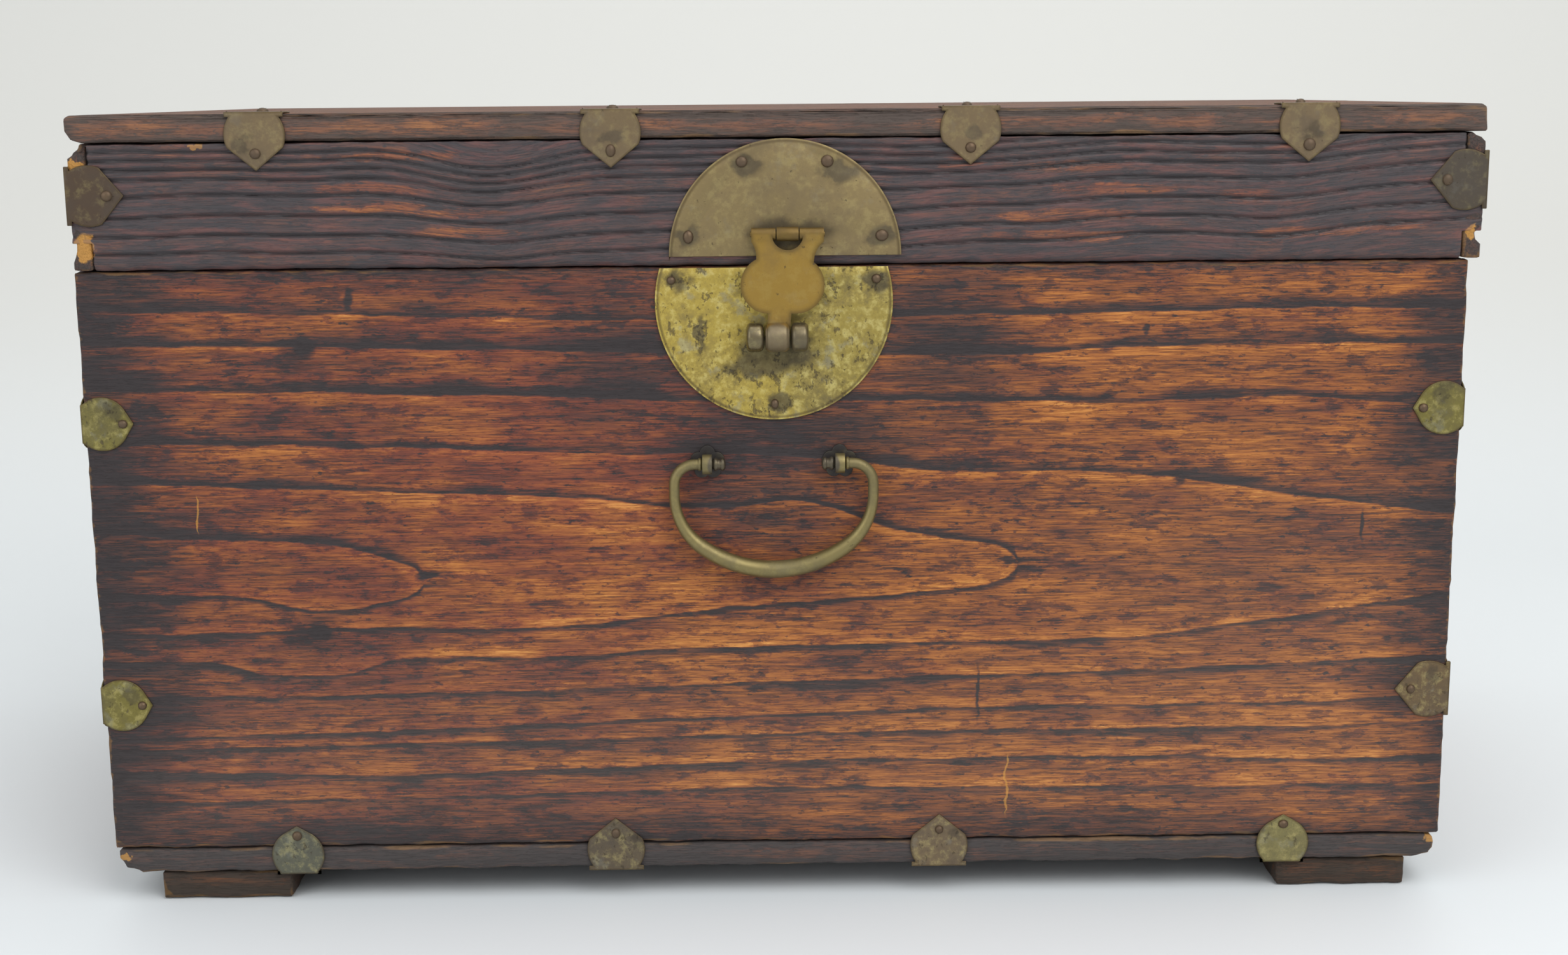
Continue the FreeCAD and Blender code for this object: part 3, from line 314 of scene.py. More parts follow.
def old_brass_group():
    """Old sheet brass: a clean colour, a dark one, pits and grey bloom."""
    tree, w, given, out = new_group(
        "Old brass",
        {"Vector": "Place", "Color": "Clean Dark", "Float": "Pitting Tarnish Stain Rim"},
        {"Color": "Color", "Float": "Roughness Metallic Height"})
    place, amount, stain = given["Place"], given["Pitting"], given["Stain"]
    broad = w.cloud(place, (0.04, 0.04, 0.04), detail=6, rough=0.66)
    mottle = w.cloud(place, (0.16, 0.16, 0.16), (3, 1, 7), 7, 0.72)
    spots = w.cloud(place, (0.30, 0.30, 0.22), (1, 6, 3), 6, 0.68)
    fine = w.cloud(place, (1.2, 1.2, 1.2), (9, 4, 2), 3, 0.6)
    bloom = w.span(w.cloud(place, (0.09, 0.09, 0.09), (8, 2, 5), 6, 0.66), 0.56, 0.66)
    pits = w.span(spots + amount * 0.10, 0.66, 0.72)
    specks = w.span(fine, 0.58, 0.70) * amount
    tarnish = w.clamp(w.span(broad, 0.40, 0.68, -0.15, 0.5)
                      + w.span(mottle, 0.40, 0.64, -0.25, 0.5) * amount + given["Tarnish"])
    shown = given["Clean"]
    for factor, shade in (
            (w.span(mottle, 0.52, 0.36, 0.0, 0.45) * amount, srgb(222, 208, 140)),
            (tarnish * 0.62, given["Dark"]),
            (bloom * amount * 0.45, srgb(134, 136, 128)),
            (w.clamp(pits * 0.7 + specks * 0.5), srgb(66, 56, 38)),
            # The stain colour paints real stains and also painted shadow, such as below the lock
            # barrels.
            (stain * 0.85, srgb(56, 50, 42)),
            (given["Rim"] * 0.62, srgb(76, 62, 40))):
        shown = w.blend(factor, shown, shade)
    w.feed(out, {
        "Color": shown,
        "Roughness": tarnish * 0.2 + 0.36 + mottle * 0.16 + pits * 0.15 + stain * 0.2,
        "Metallic": 0.85 - w.most(pits, tarnish, stain) * 0.5,
        "Height": mottle * 0.5 - pits * 0.6})
    return tree


def new_material(name):
    """A material with a lone surface shader: its wiring and that shader's inputs."""
    made = bpy.data.materials.new(name)
    made.use_nodes = True
    made.node_tree.nodes.clear()
    w = Wiring(made.node_tree)
    surface = w.node("ShaderNodeBsdfPrincipled")
    output = w.node("ShaderNodeOutputMaterial")
    made.node_tree.links.new(surface.outputs[0], output.inputs["Surface"])
    return made, w, surface.inputs


def emboss(w, height, depth):
    """A normal that shows a height as a bump of a real depth in metres."""
    return w.value("ShaderNodeBump", named={"Strength": 1.0, "Distance": depth,
                                            "Height": height})


# Ring lines of the front board, drawn from left to right as (x, z) points in millimetres. A line
# lies over the tongues' middle (1) or under it (-1), and is so dark and so wide; the lines of
# a tongue that closes end at its tip.
FRONT_RINGS = [
    (1, 0.9, 7, None, [(-345, 314), (-245, 312), (-145, 309), (-60, 307), (60, 308), (155, 308),
                       (255, 310), (343, 309)]),
    (1, 0.9, 8, None, [(-345, 297), (-245, 295), (-145, 292), (-60, 290), (95, 288), (155, 289.5),
                       (255, 292.5), (343, 291)]),
    (1, 1.0, 8, None, [(-345, 273), (-245, 272), (-145, 269.5), (-60, 266.5), (70, 265),
                       (155, 263), (255, 264.5), (343, 259)]),
    (1, 1.0, 8, None, [(-345, 246), (-295, 245.5), (-195, 243), (-95, 239), (-25, 238), (45, 233),
                       (85, 228), (155, 227.5), (205, 223), (255, 215.5), (343, 203)]),
    (1, 1.0, 6, 122, [(-345, 226), (-295, 224), (-195, 220), (-105, 216), (-30, 210), (5, 214),
                      (25, 210), (55, 199.5), (85, 193), (110, 189), (118, 186), (122, 182.5),
                      (123, 178.5)]),
    (-1, 0.9, 5, 122, [(-345, 147), (-295, 146), (-220, 148), (-130, 147.5), (-45, 155),
                       (5, 159.5), (55, 163), (100, 167), (114, 170.5), (121, 174.5),
                       (123, 178.5)]),
    (1, 0.9, 6, -184, [(-345, 200), (-295, 196.5), (-245, 194), (-222, 191), (-200, 185),
                       (-188, 180), (-184, 176), (-183, 173)]),
    (-1, 1.0, 4, -184, [(-345, 168), (-280, 165), (-235, 158), (-203, 162), (-189, 166),
                        (-184, 170), (-183, 173)]),
    (-1, 0.9, 5, None, [(-345, 132), (-295, 131), (-255, 123), (-230, 123), (-195, 132),
                        (-120, 132), (-45, 136), (55, 137), (185, 139.5), (230, 144.5),
                        (285, 152), (343, 161)]),
    (-1, 0.8, 6, None, [(-345, 112), (-245, 112), (-95, 114.5), (5, 117), (105, 119.5),
                        (205, 122), (280, 124.5), (343, 128)]),
    (-1, 0.8, 4, None, [(-345, 90), (-195, 93), (-45, 98), (105, 102), (255, 103), (343, 106)]),
    (-1, 0.8, 5, None, [(-345, 84), (-145, 86), (-45, 88), (105, 90), (255, 89.5), (343, 92)]),
    (-1, 0.8, 6, None, [(-345, 72), (-195, 69), (-45, 73), (105, 74.5), (205, 74.5), (280, 71),
                        (343, 73)]),
    (-1, 0.7, 5, None, [(-345, 54.5), (-145, 57), (5, 59.5), (155, 58), (343, 57)]),
]
# The field in which the lines are drawn, and how far ahead a line's slope is read.
RING_LEFT, RING_SPAN, RING_TOP, RING_AHEAD = -352.0, 704.0, 400.0, 3
# Marks on the front board: middle and reach, in millimetres.
DARK_NICKS = [((-238.5, 294.5), (8, 7)), ((-237.5, 147), (8, 7)), ((102.5, 110), (1.3, 22)),
              ((300, 197), (1.6, 12)), ((-215, 318), (4, 9)), ((-182, 176), (9, 3)),
              ((118, 181), (10, 3)), ((186, 300), (3, 5)), ((205, 222), (5, 4))]
PALE_SCRATCHES = [((-296.5, 209), (0.9, 14)), ((118.5, 60), (0.9, 24))]
# Where hands have darkened it: middle, reach, how ragged and how much.
HAND_MARKS = [((MIDDLE_X - 78, 285), (62, 70), 0.5, 0.8),
              ((MIDDLE_X + 85, 298), (62, 58), 0.5, 0.8),
              ((MIDDLE_X - 2, HANDLE_Z), (92, 26), 0.4, 0.8),
              ((MIDDLE_X - 8, 212), (70, 40), 0.6, 0.8), ((-244, 292), (16, 11), 0.25, 0.8),
              ((-241, 146), (26, 15), 0.3, 0.8), ((-330, 257), (42, 34), 0.4, 0.8),
              ((-330, 108), (46, 60), 0.4, 0.8), ((335, 250), (44, 66), 0.4, 0.8),
              ((330, 108), (44, 34), 0.4, 0.8), ((MIDDLE_X + 8, 252), (118, 34), 1, 1)]
# Where it is lighter or darker: middle, reach and how much.
FRONT_LIGHT = [((-130, 195), (190, 110), 0.17), ((-60, 90), (260, 60), -0.05),
               ((270, 80), (190, 80), 0.05), ((240, 190), (130, 40), -0.07)]
# Grooves of the lid's front: their heights where they run level.
LID_GROOVES = [341.8, 350.5, 360.3, 370.3, 378.0, 382.8, 387.3, 391.6]
# Chips down to fresh wood at the ends: middle and reach.
RAW_CHIPS = [((-344, 345), (8, 10)), ((-347, 386), (7, 4)), ((-286, 395), (6, 2)),
             ((345, 27), (7, 4)), ((348, 347), (4, 5)), ((-346, 25), (5, 3))]
# Orange rubbed through the lid's dark: middle, reach and how much.
LID_ORANGE = [((-190, 389), (60, 5), 0.7), ((-200, 373), (50, 6), 0.8), ((-200, 364), (60, 5), 0.7),
              ((-160, 361), (50, 5), 0.7), ((-157, 351), (60, 5), 0.8), ((-215, 403), (40, 7), 0.8),
              ((151, 381), (50, 5), 0.8), ((166, 370), (60, 6), 0.8), ((145, 357), (60, 6), 1.0),
              ((143, 347), (60, 5), 0.9), ((262, 348), (50, 5), 0.8), ((304, 351), (40, 5), 0.8),
              ((92, 384), (30, 8), 0.6), ((236, 366), (40, 8), 0.6)]


def drawn_height(w, across, points):
    """The height of a drawn line in millimetres over a place along the front."""
    made = w.node("ShaderNodeFloatCurve", named={"Value": across})
    curve = made.mapping.curves[0]
    while len(curve.points) < len(points):
        curve.points.new(0.5, 0.5)
    for spot, (x, z) in zip(curve.points, points):
        spot.location = ((x - RING_LEFT) / RING_SPAN, z / RING_TOP)
        spot.handle_type = "AUTO_CLAMPED"
    made.mapping.extend = "HORIZONTAL"
    made.mapping.update()
    return Value(w, made.outputs[0]) * RING_TOP


def front_rings(w, x, z):
    """How dark the ring lines are on the front board and how light the wood inside them."""
    place = w.join(x, z, 0.0)
    level = (z + w.sway(place, (0.02, 0.05, 1), 4, detail=2)
             + w.sway(place, (0.09, 0.25, 1), 2.2, (4, 4, 0)))
    across = (x - RING_LEFT) * (1 / RING_SPAN)
    ahead = across + RING_AHEAD / RING_SPAN
    spread = w.span(w.cloud(place, (0.012, 0.05, 1), (7, 1, 0), 4), 0.4, 0.68, 0.5, 1.35)
    strength = w.span(w.cloud(place, (0.018, 0.06, 1), (1, 5, 0)), 0.32, 0.6, 0.42, 0.92)
    lines, sheens = [], []
    for side, dark, wide, tip, points in FRONT_RINGS:
        here = drawn_height(w, across, points)
        slope = (drawn_height(w, ahead, points) - here) * (1 / RING_AHEAD)
        out = (level - here) * side / w.math("SQRT", slope * slope + 1.0)
        line = w.span(out, -0.8, 0.5) * w.span(out / spread, 0.4, wide, dark, 0.0)
        sheen = w.span(out, -9, -1) * w.span(out, -0.8, 0.3, 1.0, 0.0)
        if tip is None:
            line *= strength
        else:
            line *= w.span(x, tip + 2, tip + 22, 0.85, 0.0)
            sheen *= w.span(x, tip - 2, tip, 1.0, 0.0)
        lines.append(line)
        sheens.append(sheen)
    return w.most(*lines), w.most(*sheens)


def front_darkening(w, x, z):
    """Where the box's front is darker: at both ends, towards the bottom, and where hands have
    darkened it.
    """
    rag = w.sway(w.join(x, z, 0.0), (0.02, 0.09, 1), 90, (3, 7, 0), 5)
    left = w.span(x - FRONT_LOW[0] / MM + rag, 5, 62, 0.85, 0.0)
    right = w.span(FRONT_HIGH[0] / MM - x + rag * 0.7, 2, 42, 0.8, 0.0)
    low = w.span(z - FRONT_LOW[2] / MM + rag * 0.5, 0, 26, 0.7, 0.0)
    spots = [w.near(x + rag * ragged, z, spot, reach) * much
             for spot, reach, ragged, much in HAND_MARKS]
    return w.clamp(w.most(left, right, low * w.span(x, 250, 120, 0.5, 1.0), *spots))


def make_front_wood(group):
    """The box's front board, with its nested tongues."""
    made, w, surface = new_material("front_wood")
    place = w.object_mm()
    x, y, z = w.split(place)
    flat = w.join(x, z, 0.0)
    lines, sheen = front_rings(w, x, z)
    edge = w.mark("edge")
    dirt = w.most(front_darkening(w, x, z), edge * 0.6)
    reds = w.span(x, 60, -200, 0.0, 0.6) + w.near(x, z, (-60, 260), (170, 110)) * 0.7
    light = sum((w.near(x, z, *spot) * much for *spot, much in FRONT_LIGHT),
                sheen * 0.16 + w.span(x, 0, -220, -0.06, -0.15))
    aside = x + w.sway(flat, (0.1, 0.1, 1), 6)
    above = z + w.sway(w.join(x, z, 9.0), (0.16, 0.5, 1), 9, detail=5)
    nicks = w.most(*[w.near(aside, above, *nick) for nick in DARK_NICKS])
    pale = w.most(*[w.near(aside, z, *nick) for nick in PALE_SCRATCHES])
    rubbed = w.span(edge + w.cloud(place, (0.05, 0.3, 0.3), detail=4), 1.42, 1.6)
    looks = w.group(group, {
        "Grain": w.join(x, z, y), "Lines": w.clamp(lines + w.span(nicks, 0.0, 0.8) * 0.8),
        "Dirt": dirt, "Red": reds, "Light": light,
        "Worn": w.most(rubbed * 0.35, w.span(pale, 0.1, 0.4)) * 0.5})
    veil = w.span(z, 190, 60, 0.0, 0.04) + w.near(x, z, (260, 160), (200, 120)) * 0.025
    w.feed(surface, {
        "Base Color": w.blend(veil * (1.0 - dirt * 0.9), looks["Color"], srgb(186, 180, 168)),
        "Roughness": looks["Roughness"], "Specular IOR Level": 0.22,
        "Normal": emboss(w, looks["Height"], 0.35 * MM)})
    return made


def raw_chips(w, x, z):
    """Where the ends of lid and box are chipped down to fresh wood."""
    rag = w.sway(w.join(x, z, 0.0), (0.2, 0.2, 1), 9, detail=4)
    return w.span(w.most(*[w.near(x + rag, z + rag, *chip) for chip in RAW_CHIPS]), 0.15, 0.35)


def make_board_wood(group, name, swap, red, dirt, rings=19.0, shift=0.0, grey=0.0,
                    drab=srgb(90, 78, 70), chips=False):
    """A plainer board: swap tells which two axes run along and across its grain."""
    made, w, surface = new_material(name)
    axes = w.split(w.object_mm())
    along, across, deep = (axes[index] for index in swap)
    along, across = along + shift * 37, across + shift * 11
    grain = w.join(along, across, deep)
    sway = w.cloud(grain, (0.0022, 0.009, 0.009), (1, 2, 3)) * 70
    saw = w.math("FRACT", (across + deep * 0.6 + sway) / rings)
    faint = w.span(w.cloud(grain, (0.01, 0.05, 0.05), (4, 1, 7)), 0.35, 0.6, 0.25, 0.8)
    edge = w.mark("edge")
    rag = w.cloud(grain, (0.03, 0.12, 0.12), (5, 1, 6), 4)
    worn = w.span(edge + rag, 1.45, 1.6) * 0.3
    if chips:
        front = FRONT_LOW[1] / MM
        worn = w.most(worn, raw_chips(w, axes[0], axes[2])
                      * w.span(axes[1], front + 14, front + 6))
    looks = w.group(group, {
        "Grain": grain, "Red": red, "Worn": worn,
        "Lines": w.span(saw, 0.0, 0.28, 1.0, 0.0) * w.span(saw, 0.0, 0.05) * faint,
        "Dirt": w.clamp(w.span(rag + edge * 0.4, 0.5, 0.95) + dirt - 0.1)})
    w.feed(surface, {
        "Base Color": w.blend(grey, looks["Color"], drab), "Roughness": looks["Roughness"],
        "Specular IOR Level": 0.22, "Normal": emboss(w, looks["Height"], 0.4 * MM)})
    return made


def make_lid_front_wood(group):
    """The lid's front board: dark, ribbed, with orange rubbed through."""
    made, w, surface = new_material("lid_front_wood")
    x, y, z = w.split(w.object_mm())
    grooves, level = w.mark("groove") * 0.8, w.mark("level")
    band = w.math("FLOOR", (level - 342) * (1 / 9.3))
    strips = w.cloud(w.join(x, band, 0.0), (0.022, 3.1, 1), (0, 2, 0), 4, 0.6)
    rag = w.cloud(w.join(x, level, 0.0), (0.05, 0.16, 1), (6, 2, 0), 6, 0.68)
    spots = w.most(*[w.near(x, z, *spot) * much for *spot, much in LID_ORANGE])
    shown = w.clamp(w.span(spots + (rag - 0.5) * 1.6, 0.15, 0.55) * 0.85
                    + w.span(strips, 0.52, 0.68, 0.0, 0.35))
    looks = w.group(group, {
        "Grain": w.join(x, level, y), "Lines": grooves, "Red": 0.35,
        "Dirt": w.most(0.80 - shown * 0.62, w.mark("edge") * 0.8), "Worn": raw_chips(w, x, z)})
    grey = (1.0 - w.most(shown, grooves)) * 0.6
    ruddy = w.span(w.cloud(w.join(x, level, 3.0), (0.03, 0.22, 1), (2, 2, 0), 5, 0.66), 0.48, 0.62)
    aged = w.blend(ruddy, srgb(61, 57, 61), srgb(102, 68, 66))
    w.feed(surface, {
        "Base Color": w.blend(grey, looks["Color"], aged), "Specular IOR Level": 0.45,
        "Roughness": looks["Roughness"] - 0.12,
        "Normal": emboss(w, looks["Height"] * 0.8 - grooves * 0.625, 0.45 * MM)})
    return made


def make_brass(group, name, clean, dark, pitting, tarnish, areas=(), stains_and_shadows=(), depth=0.9,
               ring=None, polish=0.0):
    """Brass sheet or rod in one of the chest's colours.

    areas = (place, size, colour) of parts with another patina; stains_and_shadows = (place, size)
    of dark stains, some of them painted shadow below the lock barrels, and depth is how dark these
    are; ring = (middle, radius) of a round plate with a dark line inside its rim; polish takes from
    the roughness.
    """
    made, w, surface = new_material(name)
    place = w.object_mm()
    x, _, z = w.split(place)
    for *spot, shade in areas:
        clean = w.blend(w.span(w.near(x, z, *spot), 0.0, 0.15), clean, shade)
    rag = w.sway(place, (0.1, 0.1, 0.1), 22, detail=5)
    # Dark stains, and painted shadow where a material lists one among them.
    marks = [w.near(x + rag, z + rag * 0.6, *stain) for stain in stains_and_shadows]
    rim = w.mark("rim")
    if ring:
        middle, radius = ring
        far = w.reach(x - middle[0], z - middle[1])
        rim = w.most(rim * 0.2, w.span(far, radius - 2.6, radius - 1.3)
                     * w.span(far, radius - 0.5, radius - 1.0))
    looks = w.group(group, {
        "Place": place, "Clean": clean, "Dark": dark, "Pitting": pitting, "Tarnish": tarnish,
        "Stain": w.span(w.most(0.0, *marks), 0.05, 0.6) * depth, "Rim": rim})
    w.feed(surface, {
        "Base Color": looks["Color"], "Roughness": looks["Roughness"] - polish,
        "Metallic": looks["Metallic"], "Normal": emboss(w, looks["Height"], 0.25 * MM)})
    return made


def plate_round(node, at_top):
    """Middle and radius of a round plate in millimetres, from its top or from its foot."""
    low, high = (np.array(corner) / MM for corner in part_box(node))
    radius = (high[0] - low[0]) / 2
    return ((high[0] + low[0]) / 2, high[2] - radius if at_top else low[2] + radius), radius


MATERIALS = {}


def make_materials(wood, brass):
    """Every finish of the chest, kept by its name."""
    group = stained_wood_group(wood)
    MATERIALS["front_wood"] = make_front_wood(group)
    MATERIALS["lid_front_wood"] = make_lid_front_wood(group)
    for name, swap, red, dirt, more in (
            ("back_wood", (0, 2, 1), 0.5, 0.25, {"shift": 3}),
            ("side_wood", (1, 2, 0), 0.4, 0.15, {"shift": 5}),
            ("bottom_wood", (0, 2, 1), 0.3, 0.75,
             {"shift": 7, "grey": 0.45, "drab": srgb(84, 80, 78), "chips": True}),
            ("lid_top_wood", (0, 1, 2), 0.3, 0.28,
             {"shift": 2, "grey": 0.42, "drab": srgb(106, 92, 82), "rings": 24}),
            ("lid_side_wood", (1, 2, 0), 0.4, 0.6,
             {"shift": 4, "grey": 0.35, "rings": 11, "chips": True}),
            ("lid_back_wood", (0, 2, 1), 0.4, 0.6, {"shift": 6, "grey": 0.35, "rings": 11}),
            ("foot_wood", (0, 1, 2), 0.0, 0.75, {"shift": 8, "grey": 0.55, "drab": wood.foot})):
        MATERIALS[name] = make_board_wood(group, name, swap, red, dirt, **more)

    group = old_brass_group()
    reach = (60, 60)
    for name, clean, dark, pitting, tarnish, more in (
            ("yellow_brass", brass.yellow, brass.black, 0.9, 0.0, {
                "areas": [((38, 296), (46, 62), srgb(158, 140, 74))],
                # The first two of these, below the lock barrels, are painted shadow of the barrels
                # over a real dark stain.
                "stains_and_shadows": [((0, 290), (33, 17)), ((-8, 284), (24, 12)), ((0, 264), (9, 8)),
                           ((-50, 326), (10, 9)), ((50, 325), (11, 10)), ((-38, 300), (5, 14))],
                "ring": plate_round("box_lock_plate", False)}),
            ("tan_brass", brass.tan, srgb(88, 74, 52), 0.25, 0.16, {
                "stains_and_shadows": [((6, 350), (30, 12)), ((-14, 384), (12, 9)), ((31, 380), (15, 9)),
                           ((-45, 348), (9, 8)), ((52, 348), (9, 8))],
                "depth": 0.75, "ring": plate_round("lid_lock_plate", True)}),
            ("hasp_brass", brass.gold, srgb(96, 76, 40), 0.12, 0.2, {
                "areas": [((MIDDLE_X + 1.5, 298), (9, 9), srgb(124, 112, 90))]}),
            ("barrel_brass", brass.grey, brass.black, 0.2, 0.1, {"polish": 0.16}),
            ("bronze_strap", brass.bronze, srgb(62, 54, 46), 0.22, 0.14, {
                "areas": [((-345, 366), (40, 40), srgb(84, 70, 58)),
                          ((345, 366), (40, 40), srgb(84, 76, 66))],
                "stains_and_shadows": [((-262, 396), (8, 7)), ((-80, 398), (7, 6)), ((98, 398), (7, 6)),
                           ((268, 398), (9, 7))],
                "depth": 0.6}),
            ("green_strap", brass.olive, brass.black, 0.55, 0.08, {
                "areas": [((-238, 26), reach, srgb(104, 104, 90)),
                          ((-75, 26), reach, srgb(108, 96, 78)),
                          ((92, 26), reach, srgb(122, 106, 84)),
                          ((340, 105), reach, srgb(112, 94, 70)),
                          ((250, 26), reach, srgb(132, 124, 84))],
                "stains_and_shadows": [((-335, 264), (8, 9)), ((338, 266), (8, 9)), ((-335, 115), (7, 8)),
                           ((340, 117), (7, 8)), ((-238, 32), (9, 7)), ((-75, 32), (8, 6)),
                           ((92, 33), (7, 5)), ((250, 33), (8, 5))],
                "depth": 0.6}),
            ("handle_brass", brass.handle, brass.black, 0.12, 0.1, {
                "areas": [((x, HANDLE_Z), (7, 8), srgb(92, 84, 70)) for x in (-30, 25)]}),
            ("dark_brass", brass.black, srgb(30, 28, 28), 0.1, 0.3, {}),
            ("hinge_brass", brass.bronze, brass.black, 0.3, 0.2, {}),
            ("old_nails", srgb(126, 104, 90), brass.black, 0.1, 0.25, {})):
        MATERIALS[name] = make_brass(group, name, clean, dark, pitting, tarnish, **more)


def body_name(node):
    """The body that carries a CAD node."""
    for name, nodes in frame["record"]["behaviour"]["bodies"].items():
        if node in nodes:
            return name
    raise ValueError("no body carries " + node)


def slot_name(node):
    """The material slot that the record gives a CAD node."""
    for part in frame["record"]["subparts"]:
        if part["node"] == node:
            return part["material_slot"]
    raise ValueError("no slot for " + node)


def hand_over(piece, node, material=None):
    """Finish a piece: its material, its body and the node that it stands for."""
    piece.data.materials.clear()
    piece.data.materials.append(MATERIALS[material or slot_name(node)])
    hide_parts(node)
    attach(piece, body_name(node))
    return piece


def select(*pieces):
    """Select these objects alone, the first as the active one."""
    if bpy.context.object and bpy.context.object.mode == "EDIT":
        leave_edit()
    bpy.ops.object.select_all(action="DESELECT")
    for piece in pieces:
        piece.select_set(True)
        bpy.context.view_layer.objects.active = pieces[0]


def edit(action="SELECT", kind=None):
    """Go into edit mode with everything selected, or nothing."""
    bpy.ops.object.mode_set(mode="EDIT")
    if kind:
        bpy.ops.mesh.select_mode(type=kind)
    bpy.ops.mesh.select_all(action=action)


def leave_edit():
    bpy.ops.object.mode_set(mode="OBJECT")


def choose(piece, test, kind="FACE"):
    """Select the faces or edges of a piece that pass a test, in edit mode."""
    edit("DESELECT", kind)
    leave_edit()
    for item in piece.data.polygons if kind == "FACE" else piece.data.edges:
        item.select = test(item)
    bpy.ops.object.mode_set(mode="EDIT")


def draw_out(*way):
    bpy.ops.mesh.extrude_region_move(TRANSFORM_OT_translate={"value": way})


def new_block(name, low, high):
    """A block between two corners, left in object mode."""
    select()
    bpy.ops.mesh.primitive_cube_add(size=1)
    piece = bpy.context.object
    piece.name = piece.data.name = name
    low, high = Vector(low), Vector(high)
    edit()
    bpy.ops.transform.resize(value=high - low)
    bpy.ops.transform.translate(value=(low + high) / 2)
    leave_edit()
    return piece


def new_disc(steps, radius, place, turn=(0, 0, 0)):
    """A disc of a radius in millimetres to draw out into a rod, left in edit mode."""
    select()
    bpy.ops.mesh.primitive_circle_add(vertices=steps, radius=radius * MM, fill_type="NGON",
                                      rotation=turn, location=place)
    bpy.ops.object.transform_apply(location=True, rotation=True, scale=True)
    edit()
    return bpy.context.object


def close_up(merge=None):
    """Merge points closer than so many millimetres and turn the faces outward."""
    edit()
    if merge:
        bpy.ops.mesh.remove_doubles(threshold=merge * MM)
    bpy.ops.mesh.normals_make_consistent(inside=False)
    leave_edit()


def cut_across(axis, places):
    """Cut loops into the active object at places along one axis."""
    normal = Vector((0, 0, 0))
    normal[axis] = 1
    for place in places:
        edit()
        bpy.ops.mesh.bisect(plane_co=normal * place, plane_no=normal)
    leave_edit()


def run_along(piece, edge, axis):
    """The length of an edge that runs along an axis, or 0."""
    a, b = (piece.data.vertices[index].co for index in edge.vertices)
    run = (a - b).length
    return run if abs(a[axis] - b[axis]) > 0.999 * run else 0


def refine(piece, steps):
    """Divide every edge that runs along an axis until it is about that axis's step long."""
    for axis, step in enumerate(steps):
        for _ in range(3):
            runs = (run_along(piece, edge, axis) for edge in piece.data.edges)
            sizes = {round(run / MM, 1) for run in runs if run > 1.6 * step}
            if not sizes:
                break
            for size in sorted(sizes):
                choose(piece, lambda edge: round(run_along(piece, edge, axis) / MM, 1) == size,
                       "EDGE")
                bpy.ops.mesh.subdivide(number_cuts=min(99, max(1, round(size * MM / step) - 1)))
                leave_edit()


def read_points(piece):
    points = np.empty(len(piece.data.vertices) * 3)
    piece.data.vertices.foreach_get("co", points)
    return points.reshape(-1, 3)


def write_points(piece, points):
    piece.data.vertices.foreach_set("co", points.ravel())
    piece.data.update()


def store(piece, name, values):
    """Keep a value for each point of a piece, for its material."""
    layer = piece.data.attributes.new(name, "FLOAT", "POINT")
    layer.data.foreach_set("value", np.asarray(values, dtype=np.float32))


def wear(piece, depth, seed, bites, joints, reach=5 * MM):
    """Wear a board's edges unevenly inwards and note how close each point is to an edge.

    bites = (place, reach, pull) of broken corners; joints = (axis, side) of the faces that
    meet another board, where nothing wears.
    """
    points = read_points(piece)
    low, high = points.min(axis=0), points.max(axis=0)
    ways = {-1: points - low, 1: high - points}
    for axis, side in joints:
        ways[side][:, axis] = 1.0
    gaps = np.minimum(ways[-1], ways[1])
    closeness = np.exp(-(np.sort(gaps, axis=1)[:, 1] / reach) ** 2)
    middle = (low + high) / 2
    inward = np.zeros_like(points)
    for index, point in enumerate(points):
        if closeness[index] < 0.02:
            continue
        spot = Vector(point) * 60 + Vector((seed, seed, seed))
        rough = 0.5 + 0.5 * noise.noise(spot) + 0.35 * noise.noise(spot * 3.1)
        for axis in np.argsort(gaps[index])[:2]:
            inward[index, axis] = math.copysign(1, middle[axis] - point[axis]) * rough
    points = points + inward * (closeness * depth)[:, None]
    for place, radius, bite in bites:
        away = np.linalg.norm((points - np.array(place)) / np.array(radius), axis=1)
        points = points + np.clip(1 - away ** 2, 0, 1)[:, None] * np.array(bite)
    write_points(piece, points)
    store(piece, "edge", closeness)


def lid_relief(x, z):
    """How deep the lid's grooves are at a place on its front, and the height they follow.

    They run level and dip together under two bumps in the grain.
    """
    dip = np.exp(-((x + 141) / 34) ** 2) * np.interp(z, (335, 392), (3.5, 9.5))
    second = 4.5 * np.exp(-((x - 252) / 42) ** 2)
    climb = 0.045 * np.maximum(x - 60, 0)
    sway = np.array([noise.noise(Vector((0.02 * a, 0.03 * b, 1))) for a, b in zip(x, z)])
    level = z + dip + second - climb + 1.4 * sway
    heights, depths = [300.0], [0.0]
    for groove in LID_GROOVES:
        heights += [groove - 0.9, groove, groove + 1.9]
        depths += [0.0, 1.0, 0.0]
    return np.interp(level, heights, depths), level


def carve_lid(piece, relief):
    """Cut the worn grooves into the lid's front."""
    points = read_points(piece)
    depth, level = lid_relief(points[:, 0] / MM, points[:, 2] / MM)
    near = np.clip(1 - (points[:, 1] - LID_LOW[1]) / (3 * MM), 0, 1)
    rough = np.array([noise.noise(Vector((9 * a, 0, 40 * b))) for a, _, b in points])
    ends = np.clip(np.minimum(points[:, 2] - LID_LOW[2], LID_HIGH[2] - points[:, 2])
                   / (3 * MM), 0, 1)
    points[:, 1] += near * ends * (relief * depth + 0.25 * MM * (1 + rough) / 2)
    write_points(piece, points)
    store(piece, "groove", depth)
    store(piece, "level", level)
    smooth(piece, 50)


def smooth(piece, degrees):
    select(piece)
    bpy.ops.object.shade_smooth_by_angle(angle=math.radians(degrees))


